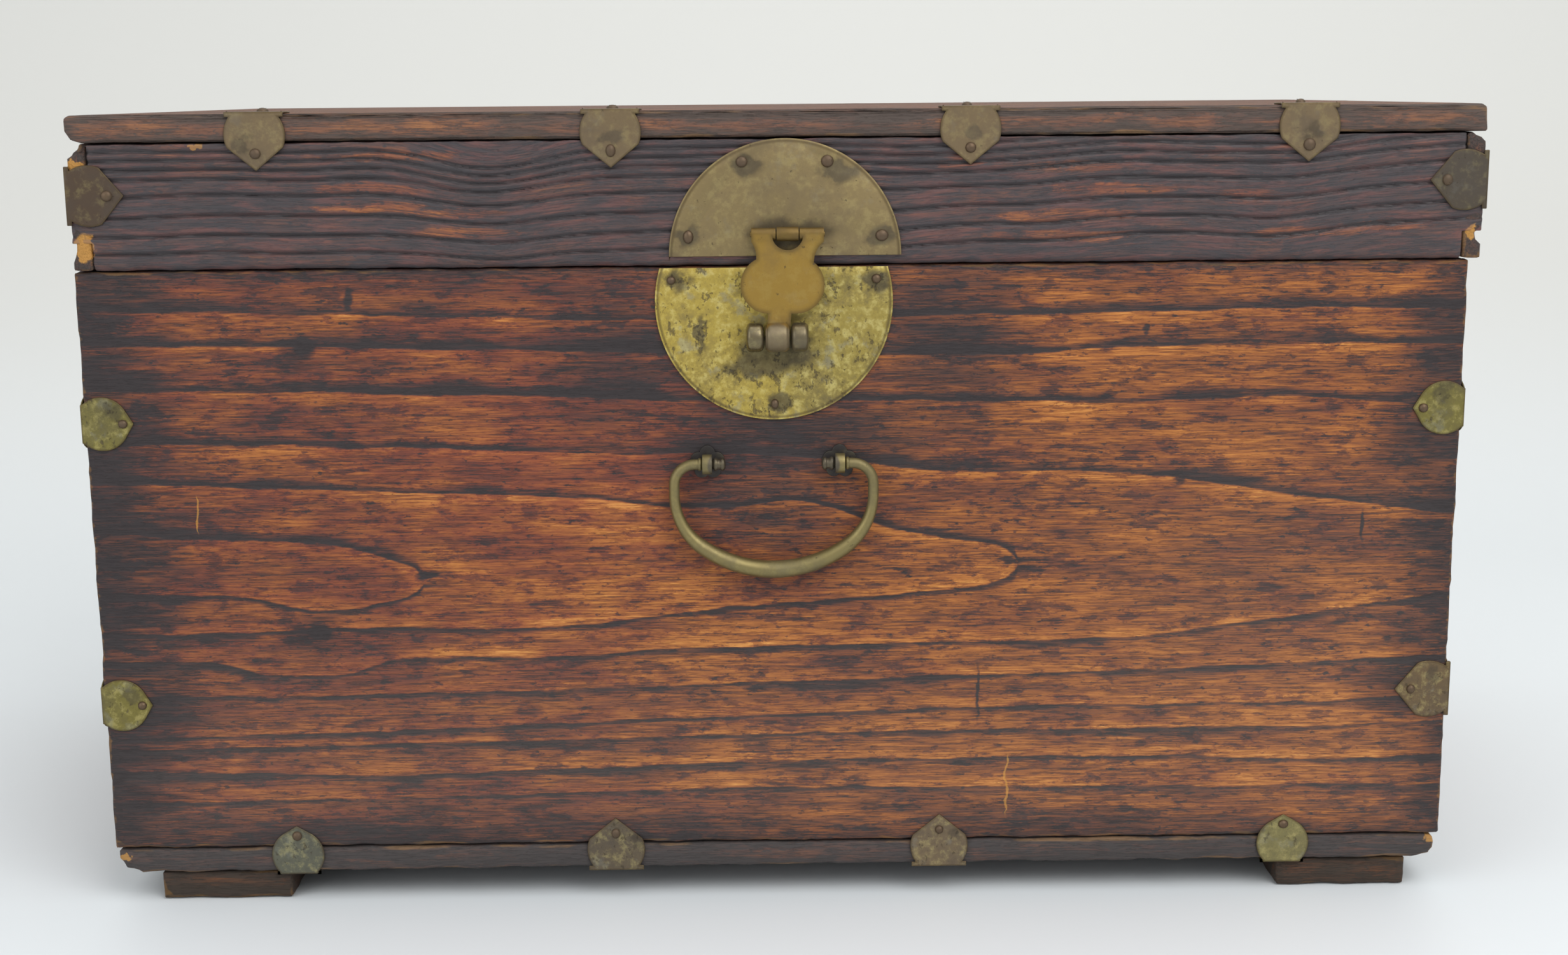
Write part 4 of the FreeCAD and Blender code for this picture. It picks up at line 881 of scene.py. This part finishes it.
def old_board(node, material, seed, tongues=None, bites=(), step=1.0, round_by=1.0, soft=None,
              joints=()):
    """One board: a block with rounded, worn edges in the place of its CAD node.

    tongues = (axis, reach, across, low, high): the block stops short by reach at both ends
    of an axis and goes on only between two places across it. soft = (test, radius): edges
    rounded more.
    """
    wood = bpy.context.scene.chest_wood
    low, high = (Vector(corner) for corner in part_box(node))
    if tongues:
        axis, reach, across, first, last = tongues
        low[axis] += reach
        high[axis] -= reach
    piece = new_block(node + "_worn", low, high)
    if tongues:
        cut_across(across, [place for place in (first, last)
                            if low[across] + 0.1 * MM < place < high[across] - 0.1 * MM])
        for sign in (-1, 1):
            choose(piece, lambda face: (face.normal[axis] * sign > 0.9
                                        and first < face.center[across] < last))
            way = Vector((0, 0, 0))
            way[axis] = sign * reach
            draw_out(*way)
            leave_edit()
    if soft:
        test, radius = soft
        choose(piece, lambda edge: all(test(piece.data.vertices[index].co)
                                       for index in edge.vertices), "EDGE")
        bpy.ops.mesh.bevel(offset=radius, segments=4, profile=0.5, affect="EDGES")
        leave_edit()
    edit("DESELECT", "EDGE")
    bpy.ops.mesh.edges_select_sharp(sharpness=math.radians(40))
    bpy.ops.mesh.bevel(offset=wood.edge_radius * round_by, segments=3, profile=0.5,
                       affect="EDGES", clamp_overlap=True)
    leave_edit()
    steps = step if isinstance(step, tuple) else (step, step, step)
    refine(piece, [wood.mesh_step * size for size in steps])
    wear(piece, wood.edge_wear, seed, bites, joints)
    smooth(piece, 35)
    return hand_over(piece, node, material)


def fine_copy(node, round_by, segments=2):
    """A cleaned copy of a CAD node with its edges rounded."""
    source = frame["nodes"][node]
    select(source)
    bpy.ops.object.duplicate()
    piece = bpy.context.object
    piece.name = piece.data.name = node + "_worn"
    world = piece.matrix_world.copy()
    piece.parent = None
    piece.matrix_world = world
    bpy.ops.object.transform_apply(location=True, rotation=True, scale=True)
    edit()
    bpy.ops.mesh.remove_doubles(threshold=0.002 * MM)
    bpy.ops.mesh.dissolve_limited(angle_limit=math.radians(1.5))
    leave_edit()
    if round_by:
        bevel = piece.modifiers.new("round", "BEVEL")
        bevel.width = round_by
        bevel.segments = segments
        bevel.limit_method = "ANGLE"
        bevel.angle_limit = math.radians(30)
        bpy.ops.object.modifier_apply(modifier=bevel.name)
    smooth(piece, 40)
    return piece


def dress(node, round_by, segments=2, finish=None):
    """Put a finer copy of a CAD node in its place."""
    piece = fine_copy(node, round_by, segments)
    if finish:
        finish(piece)
    hand_over(piece, node)


def turned(centre, profile, steps=32):
    """A solid turned about an axis along X, from (along, radius) pairs in millimetres."""
    along, radius = profile[0]
    centre = Vector(centre)
    piece = new_disc(steps, radius, centre + Vector((along * MM, 0, 0)), (0, math.pi / 2, 0))
    for place, size in profile[1:]:
        draw_out((place - along) * MM, 0, 0)
        factor = size / radius
        bpy.ops.transform.resize(value=(1, factor, factor),
                                 center_override=centre + Vector((place * MM, 0, 0)))
        along, radius = place, size
    close_up(0.001)
    return piece


def join(name, pieces):
    """Make one object of several."""
    select(*pieces)
    bpy.ops.object.join()
    joined = bpy.context.object
    joined.name = joined.data.name = name
    return joined


def lock_barrel(centre, size, radius, bore_end=4.6):
    """A barrel that is half round at both ends, like an old cast one; sizes in millimetres."""
    half, turn = size / 2, min(0.26 * size, 2.4)
    profile = []
    for step in range(7):
        part = math.radians(15 * step)
        profile.append((-half + turn * (1 - math.cos(part)),
                        bore_end + (radius - bore_end) * math.sin(part)))
    return turned(centre, profile + [(-along, wide) for along, wide in reversed(profile)])


def nail_template(radius, height, shank=1.1, depth=8.5):
    """A hammered nail that points down from the plane z = 0, its round head above it."""
    piece = new_disc(12, shank, (0, 0, -depth * MM))
    last = shank
    rings = [(depth, shank), (0, radius)]
    for step in range(1, 5):
        part, before = math.radians(20 * step), math.radians(20 * step - 20)
        rings.append((height * (math.sin(part) - math.sin(before)), radius * math.cos(part)))
    for rise, size in rings:
        draw_out(0, 0, rise * MM)
        bpy.ops.transform.resize(value=(size / last, size / last, 1), center_override=(0, 0, 0))
        last = size
    close_up()
    return piece


def islands(mesh):
    """The points of each loose part of a mesh, as arrays."""
    parent = list(range(len(mesh.vertices)))

    def root(index):
        while parent[index] != index:
            parent[index] = parent[parent[index]]
            index = parent[index]
        return index

    for edge in mesh.edges:
        first, second = (root(index) for index in edge.vertices)
        parent[first] = second
    groups = {}
    for vertex in mesh.vertices:
        groups.setdefault(root(vertex.index), []).append(vertex.co.copy())
    return [np.array(points) for points in groups.values()]


def nail_place(points, shank=1.9 * MM):
    """Where a nail of the frame has its head's seat, and which way the head looks."""
    low, high = points.min(axis=0), points.max(axis=0)
    axis = int(np.argmax(high - low))
    middle = (low + high) / 2
    away = np.abs(points - middle)
    away[:, axis] = 0
    head = points[away.max(axis=1) > shank, axis]
    seat, way = Vector(middle), Vector((0, 0, 0))
    way[axis] = 1 if head.mean() > middle[axis] else -1
    seat[axis] = head.min() if way[axis] > 0 else head.max()
    return seat, way


def old_nails(node, radius, height):
    """Round hammered nails in the places of a node's nails."""
    source = fine_copy(node, 0)
    places = [nail_place(points) for points in islands(source.data)]
    bpy.data.meshes.remove(source.data)
    template = nail_template(radius, height)
    nails = []
    for index, (seat, way) in enumerate(places):
        nail = template.copy()
        nail.data = template.data.copy()
        bpy.context.scene.collection.objects.link(nail)
        wide = 1 + 0.12 * math.sin(index * 2.4)
        turn = way.to_track_quat("Z", "Y").to_matrix().to_4x4()
        nail.data.transform(Matrix.Translation(seat) @ turn
                            @ Matrix.Diagonal((wide, 1.04 - 0.1 * math.cos(index * 1.7), 1, 1)))
        nails.append(nail)
    bpy.data.meshes.remove(template.data)
    piece = join(node + "_worn", nails)
    smooth(piece, 50)
    note_rims(piece)
    hand_over(piece, node)


# The bail in millimetres: the rod's radii, where it leaves the post, and half of its line, a
# shoulder, a straight side, a corner and the grip, which meet at an angle in radians.
THIN, THICK, NECK = 2.7, 4.5, 37.5
HALF, SHOULDER, SIDE, CORNER, GRIP, DROP, TOUCH = 50.5, 10.5, 16.0, 33.2, 62.7, 54.8, 0.944
# The collar and knob on its end: (along, radius).
BAIL_END = [(24.3, 1.2), (24.6, 2.4), (25.2, 3.2), (25.9, 3.4), (26.6, 3.1), (27.0, 2.7),
            (27.6, 2.6), (28.2, 2.8), (28.7, 3.2), (29.3, 3.4), (30.1, 3.2), (30.6, 2.6),
            (30.9, 2.3), (36.1, 2.3), (36.5, 2.9), (37.0, 3.3), (37.7, 3.3), (38.2, 2.9),
            (38.4, 2.5)]


def bail_section(x, z):
    """Middle of the rod and its radius at a place beside it, in millimetres from the axis."""
    if z > -SHOULDER and x <= HALF - SHOULDER:
        return (x, 0.0), THIN
    if -SHOULDER >= z > -SIDE:
        return (HALF, z), THIN
    low = z <= -SIDE
    middle, reach = (((HALF - CORNER, -SIDE), CORNER) if low
                     else ((HALF - SHOULDER, -SHOULDER), SHOULDER))
    part = math.atan2(z - middle[1], x - middle[0])
    if low and part < -TOUCH:
        middle, reach = (0.0, GRIP - DROP), GRIP
        part = math.atan2(z - middle[1], x - middle[0])
    share = min(1.0, max(0.0, -part / (math.pi / 2))) if low else 0.0
    centre = (middle[0] + reach * math.cos(part), middle[1] + reach * math.sin(part))
    return centre, THIN + (THICK - THIN) * share * share * (3 - 2 * share)


def bend_bail(axis):
    """Sweep a round rod along half of the bail and mirror it."""
    def spin(steps, turn, x, z):
        bpy.ops.mesh.spin(steps=steps, angle=-turn, axis=(0, 1, 0), center=(x * MM, 0, z * MM))

    rod = new_disc(20, THIN, (NECK * MM, 0, 0), (0, math.pi / 2, 0))
    draw_out((HALF - SHOULDER - NECK) * MM, 0, 0)
    spin(10, math.pi / 2, HALF - SHOULDER, -SHOULDER)
    draw_out(0, 0, (SHOULDER - SIDE) * MM)
    spin(14, TOUCH, HALF - CORNER, -SIDE)
    spin(12, math.pi / 2 - TOUCH, 0, GRIP - DROP)
    bpy.ops.mesh.delete(type="ONLY_FACE")
    leave_edit()
    points = read_points(rod) / MM
    for point in points:
        centre, radius = bail_section(point[0], point[2])
        across = np.array([point[0] - centre[0], point[1], point[2] - centre[1]])
        away = np.linalg.norm(across)
        if away < 0.1:
            continue
        ridge = 1 + 0.07 * max(0.0, -across[1] / away) ** 6
        point[:] = np.array([centre[0], 0, centre[1]]) + across / away * radius * ridge
    write_points(rod, points * MM)
    mirror = rod.modifiers.new("other half", "MIRROR")
    mirror.use_clip = True
    mirror.merge_threshold = 0.02 * MM
    bpy.ops.object.modifier_apply(modifier=mirror.name)
    close_up(0.01)
    edit()
    bpy.ops.transform.translate(value=axis)
    leave_edit()
    return rod


def border(piece, width):
    """Set a narrow border into the front and back faces and mark it, to look darker."""
    inner = set()
    for way in (Vector((0, -1, 0)), Vector((0, 1, 0))):
        choose(piece, lambda face: face.normal.dot(way) > 0.99)
        bpy.ops.mesh.inset(thickness=width, depth=0, use_boundary=True)
        leave_edit()
        inner.update(vertex.index for vertex in piece.data.vertices if vertex.select)
    store(piece, "rim", [0.0 if index in inner else 1.0
                         for index in range(len(piece.data.vertices))])


def darken_border(piece, width, cell):
    """Cut a sheet into small cells and mark each point by how close it is to the outline."""
    points = read_points(piece)
    low, high = points.min(axis=0), points.max(axis=0)
    edit()
    bpy.ops.mesh.quads_convert_to_tris()
    leave_edit()
    for axis in (0, 2):
        cut_across(axis, np.arange(low[axis] + cell / 2, high[axis], cell))
    outline = {index for face in piece.data.polygons if abs(face.normal.y) < 0.9
               for index in face.vertices}
    points = read_points(piece)
    edge = points[sorted(outline)]
    away = [np.sqrt(((edge - point) ** 2).sum(axis=1).min()) for point in points]
    store(piece, "rim", np.exp(-(np.array(away) / width) ** 2))


def note_rims(piece, largest=12 * MM * MM):
    """Mark the points that only small faces meet, so that a material can darken the edges."""
    rim = np.ones(len(piece.data.vertices))
    for face in piece.data.polygons:
        if face.area >= largest:
            rim[list(face.vertices)] = 0.0
    store(piece, "rim", rim)


class CHEST_OT_finishes(bpy.types.Operator):
    """Make the wood and brass materials"""

    bl_idname = "chest.finishes"
    bl_label = "Finishes"

    def execute(self, context):
        make_materials(context.scene.chest_wood, context.scene.chest_brass)
        return {"FINISHED"}


class CHEST_OT_box(bpy.types.Operator):
    """Build the box's four boards, its bottom and its two feet"""

    bl_idname = "chest.box"
    bl_label = "Box"

    def execute(self, context):
        wall = FRONT_HIGH[1] - FRONT_LOW[1]
        side_low, side_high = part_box("left_board")
        front_lip = (0, wall, 1, FRONT_LOW[1], side_low[1])
        back_lip = (0, wall, 1, side_high[1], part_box("back_board")[1][1])
        old_board("front_board", "front_wood", 1.0, tongues=front_lip, joints=((1, 1),))
        old_board("back_board", "back_wood", 2.0, tongues=back_lip, joints=((1, -1),))
        for seed, node in ((3.0, "left_board"), (4.0, "right_board")):
            old_board(node, "side_wood", seed, round_by=0.4, joints=((1, -1), (1, 1)))
        low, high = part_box("bottom_board")
        chips = (((low[0], low[1], low[2]), (0.012, 0.03, 0.008), (0.0025, 0.001, 0.002)),
                 ((high[0], low[1], low[2]), (0.010, 0.03, 0.006), (-0.002, 0.001, 0.0015)),
                 ((high[0], low[1], high[2]), (0.006, 0.02, 0.004), (-0.001, 0, -0.001)))
        old_board("bottom_board", "bottom_wood", 5.0, bites=chips)
        for seed, node in ((6.0, "left_foot"), (7.0, "right_foot")):
            old_board(node, "foot_wood", seed)
        return {"FINISHED"}


class CHEST_OT_lid(bpy.types.Operator):
    """Build the lid's finger-jointed frame and its top board"""

    bl_idname = "chest.lid"
    bl_label = "Lid"

    def execute(self, context):
        wood = context.scene.chest_wood
        side_low, side_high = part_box("lid_left_board")
        finger = 14 * MM
        fingers = (0, side_high[0] - side_low[0], 2, LID_LOW[2] + finger, LID_HIGH[2] - finger)
        left, front, bottom = LID_LOW
        right, _, seat = LID_HIGH
        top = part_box("lid_top_board")[1][2]
        near = 0.1 * MM
        lower_front = (lambda end: abs(end.y - front) + abs(end.z - bottom) < near, wood.lid_round)
        upper = (lambda end: abs(end.z - top) < near, 0.85 * wood.lid_round)
        ribbed = old_board("lid_front_board", "lid_front_wood", 11.0, round_by=0.35,
                           step=(0.9, 0.75, 0.15), tongues=fingers, soft=lower_front)
        carve_lid(ribbed, wood.relief)
        old_board("lid_back_board", "lid_back_wood", 12.0, step=0.75, round_by=0.35,
                  tongues=fingers)
        chip = bottom + 0.012
        notches = (((left, front, seat), (0.010, 0.020, 0.006), (0.005, 0, -0.004)),
                   ((left, front, chip), (0.005, 0.012, 0.008), (0.002, 0.001, 0)))
        old_board("lid_left_board", "lid_side_wood", 13.0, bites=notches, step=0.7)
        notches = (((right, front, chip), (0.006, 0.012, 0.004), (-0.004, 0, 0)),
                   ((right, front, seat), (0.007, 0.02, 0.005), (-0.002, 0, -0.002)))
        old_board("lid_right_board", "lid_side_wood", 14.0, bites=notches, step=0.7)
        notches = (((left, front, seat), (0.008, 0.015, 0.0045), (0.0025, 0, 0.001)),)
        old_board("lid_top_board", "lid_top_wood", 15.0, step=1.2, bites=notches, soft=upper,
                  round_by=0.8)
        return {"FINISHED"}


class CHEST_OT_lock(bpy.types.Operator):
    """Finish the lock plates, the hasp, its pin and eye, and the barrels"""

    bl_idname = "chest.lock"
    bl_label = "Lock"

    def execute(self, context):
        brass = context.scene.chest_brass
        for node in ("box_lock_plate", "lid_lock_plate", "hasp_eye"):
            dress(node, brass.edge_round, finish=note_rims)
        dress("hasp_pin", brass.edge_round / 2, finish=note_rims)
        radius = brass.barrel_radius
        low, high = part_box("lock_staple_left"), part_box("lock_staple_right")
        axis = Vector(((low[0][0] + high[1][0]) / 2, low[0][1] + radius,
                       (low[0][2] + low[1][2]) / 2))
        inset, tang_half = 0.4 * MM, 1.8 * MM
        for node in ("lock_staple_left", "lock_staple_right"):
            first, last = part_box(node)
            middle = Vector(((first[0] + last[0]) / 2, axis.y, axis.z))
            barrel = lock_barrel(middle, (last[0] - first[0]) / MM, radius / MM)
            tang = new_block("tang", (first[0] + inset, axis.y, axis.z - tang_half),
                             (last[0] - inset, last[1], axis.z + tang_half))
            piece = join(node + "_worn", [barrel, tang])
            smooth(piece, 50)
            hand_over(piece, node)
        hasp = fine_copy("hasp", brass.edge_round)
        # The sheet's own rolled end shrinks into the barrel that goes around it.
        points = read_points(hasp)
        across = points[:, 1:] - np.array([axis.y, axis.z])
        away = np.linalg.norm(across, axis=1)
        rolled = (away > 0.9 * radius) & (away < 1.04 * radius)
        points[rolled, 1:] -= 0.16 * across[rolled]
        write_points(hasp, points)
        darken_border(hasp, 1.8 * brass.border, 1.2 * brass.border)
        hasp = join("hasp_worn", [hasp, lock_barrel(axis, 11.6, radius / MM)])
        smooth(hasp, 40)
        hand_over(hasp, "hasp")
        return {"FINISHED"}


class CHEST_OT_straps(bpy.types.Operator):
    """Finish the bent straps on the lid, the corners and the foot edge"""

    bl_idname = "chest.straps"
    bl_label = "Straps"

    def execute(self, context):
        brass = context.scene.chest_brass
        for node in ("lid_edge_straps", "lid_corner_straps", "lid_back_straps",
                     "box_corner_straps", "box_back_straps", "base_straps"):
            dress(node, brass.edge_round, finish=lambda piece: border(piece, brass.border))
        return {"FINISHED"}


class CHEST_OT_handle(bpy.types.Operator):
    """Bend the drop handle and finish its posts and their rosettes"""

    bl_idname = "chest.handle"
    bl_label = "Handle"

    def execute(self, context):
        low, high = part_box("handle_bail")
        axis = Vector(((low[0] + high[0]) / 2, POST_LOW[1] + 5 * MM, HANDLE_Z * MM))
        ends = [turned(axis, [(sign * along, size) for along, size in BAIL_END])
                for sign in (1, -1)]
        piece = join("handle_bail_worn", [bend_bail(axis), *ends])
        smooth(piece, 50)
        hand_over(piece, "handle_bail")
        for side in ("left", "right"):
            dress(f"handle_post_{side}", 0.9 * MM, 3)
            dress(f"handle_rosette_{side}", 0.7 * MM, 3)
        return {"FINISHED"}


class CHEST_OT_hinges(bpy.types.Operator):
    """Finish the two hinges at the back"""

    bl_idname = "chest.hinges"
    bl_label = "Hinges"

    def execute(self, context):
        for node in ("hinge_lid_leaves", "hinge_box_leaves", "hinge_pins"):
            dress(node, 0.6 * context.scene.chest_brass.edge_round, finish=note_rims)
        return {"FINISHED"}


class CHEST_OT_nails(bpy.types.Operator):
    """Finish the nails of every group"""

    bl_idname = "chest.nails"
    bl_label = "Nails"

    def execute(self, context):
        brass = context.scene.chest_brass
        for node, size in (("lid_strap", 1.05), ("box_strap", 0.9), ("lid_plate", 1.1),
                           ("box_plate", 0.85), ("lid_hinge", 0.9), ("box_hinge", 0.9)):
            old_nails(node + "_nails", brass.nail_radius / MM * size, brass.nail_height / MM)
        return {"FINISHED"}


def make_stage_material(stage):
    """One pale sheet whose colour goes from the floor's to the wall's with height.

    A camera behind the wall looks through it; light doesn't pass.
    """
    made, w, surface = new_material("stage_sheet")
    _, y, z = w.split(w.object_mm())
    high = w.span(z + y * 0.12, -40, 420)
    w.feed(surface, {"Base Color": w.blend(high, stage.floor, stage.wall), "Roughness": 0.45,
                     "Specular IOR Level": 0.25})
    behind = (w.value("ShaderNodeNewGeometry", output="Backfacing")
              * w.value("ShaderNodeLightPath", output="Is Camera Ray"))
    output = made.node_tree.nodes["Material Output"].inputs["Surface"]
    seen = w.value("ShaderNodeMixShader", behind, Value(w, output.links[0].from_socket),
                   w.value("ShaderNodeBsdfTransparent"))
    made.node_tree.links.new(seen.socket, output)
    return made


class CHEST_OT_stage(bpy.types.Operator):
    """Set the floor, the wall behind, the lamps and the camera"""

    bl_idname = "chest.stage"
    bl_label = "Stage"

    def execute(self, context):
        stage = context.scene.chest_stage
        select()
        bpy.ops.mesh.primitive_plane_add(size=1)
        sheet = bpy.context.object
        sheet.name = "stage_sheet"
        bpy.ops.object.mode_set(mode="EDIT")
        bpy.ops.transform.resize(value=(16, 8, 1))
        bpy.ops.transform.translate(value=(0, -2.4, 0))

        def at_back(edge, top):
            ends = [sheet.data.vertices[index].co for index in edge.vertices]
            return all(end.y > 1 and end.z < top for end in ends)

        choose(sheet, lambda edge: at_back(edge, math.inf), "EDGE")
        draw_out(0, 0, 5)
        leave_edit()
        choose(sheet, lambda edge: at_back(edge, 1), "EDGE")
        bpy.ops.mesh.bevel(offset=1.0, segments=24, profile=0.5, affect="EDGES")
        leave_edit()
        smooth(sheet, 60)
        sheet.data.materials.append(make_stage_material(stage))

        link = context.scene.collection.objects.link
        for name, place, size, power, shade in (
                ("key", (1.0, -1.6, 1.9), 1.6, stage.key, (1.0, 0.99, 0.97)),
                ("fill", (-1.6, -1.5, 1.1), 1.4, stage.key * 0.35, (0.98, 0.99, 1.0)),
                ("top", (0.2, 0.2, 2.2), 1.8, stage.key * 0.5, (1.0, 1.0, 1.0))):
            lamp = bpy.data.lights.new(name, "AREA")
            lamp.shape = "SQUARE"
            lamp.size, lamp.energy, lamp.color = size, power, shade
            holder = bpy.data.objects.new(name, lamp)
            link(holder)
            aim = Vector((0, 0, 0.2)) - Vector(place)
            holder.location = place
            holder.rotation_euler = aim.to_track_quat("-Z", "Y").to_euler()

        world = bpy.data.worlds.new("studio")
        world.use_nodes = True
        sky = world.node_tree.nodes["Background"]
        sky.inputs["Color"].default_value = (0.98, 0.99, 1.0, 1.0)
        sky.inputs["Strength"].default_value = stage.sky
        context.scene.world = world

        view = bpy.data.cameras.new("camera")
        view.sensor_width = 36
        view.sensor_fit = "HORIZONTAL"
        view.lens = stage.lens
        view.clip_start = 0.02
        camera = bpy.data.objects.new("camera", view)
        link(camera)
        camera.matrix_world = (
            Matrix.Translation(stage.camera_place)
            @ Matrix.Rotation(-stage.camera_right, 4, "Z")
            @ Matrix.Rotation(math.pi / 2 - stage.camera_down, 4, "X")
            @ Matrix.Rotation(-stage.camera_roll, 4, "Z"))
        bpy.context.scene.camera = camera
        bpy.context.scene.view_settings.view_transform = "Standard"
        return {"FINISHED"}


OPERATORS = (CHEST_OT_finishes, CHEST_OT_box, CHEST_OT_lid, CHEST_OT_lock, CHEST_OT_straps,
             CHEST_OT_handle, CHEST_OT_hinges, CHEST_OT_nails, CHEST_OT_stage)
GROUPS = {"chest_wood": ChestWood, "chest_brass": ChestBrass, "chest_stage": ChestStage}


class CHEST_PT_panel(bpy.types.Panel):
    """The chest's steps and sizes in the sidebar"""

    bl_idname = "CHEST_PT_panel"
    bl_label = "Old Chest"
    bl_space_type = "VIEW_3D"
    bl_region_type = "UI"
    bl_category = "Old Chest"

    def draw(self, context):
        column = self.layout.column()
        for operator in OPERATORS:
            column.operator(operator.bl_idname)
        for name, group in GROUPS.items():
            for item in group.__annotations__:
                column.prop(getattr(context.scene, name), item)


CLASSES = (*GROUPS.values(), *OPERATORS, CHEST_PT_panel)


def register():
    for item in CLASSES:
        bpy.utils.register_class(item)
    for name, group in GROUPS.items():
        setattr(bpy.types.Scene, name, PointerProperty(type=group))


def unregister():
    for name in GROUPS:
        delattr(bpy.types.Scene, name)
    for item in reversed(CLASSES):
        bpy.utils.unregister_class(item)


def main():
    register()
    for operator in OPERATORS:
        getattr(bpy.ops.chest, operator.bl_idname.split(".")[1])()


if __name__ == "__main__":
    main()
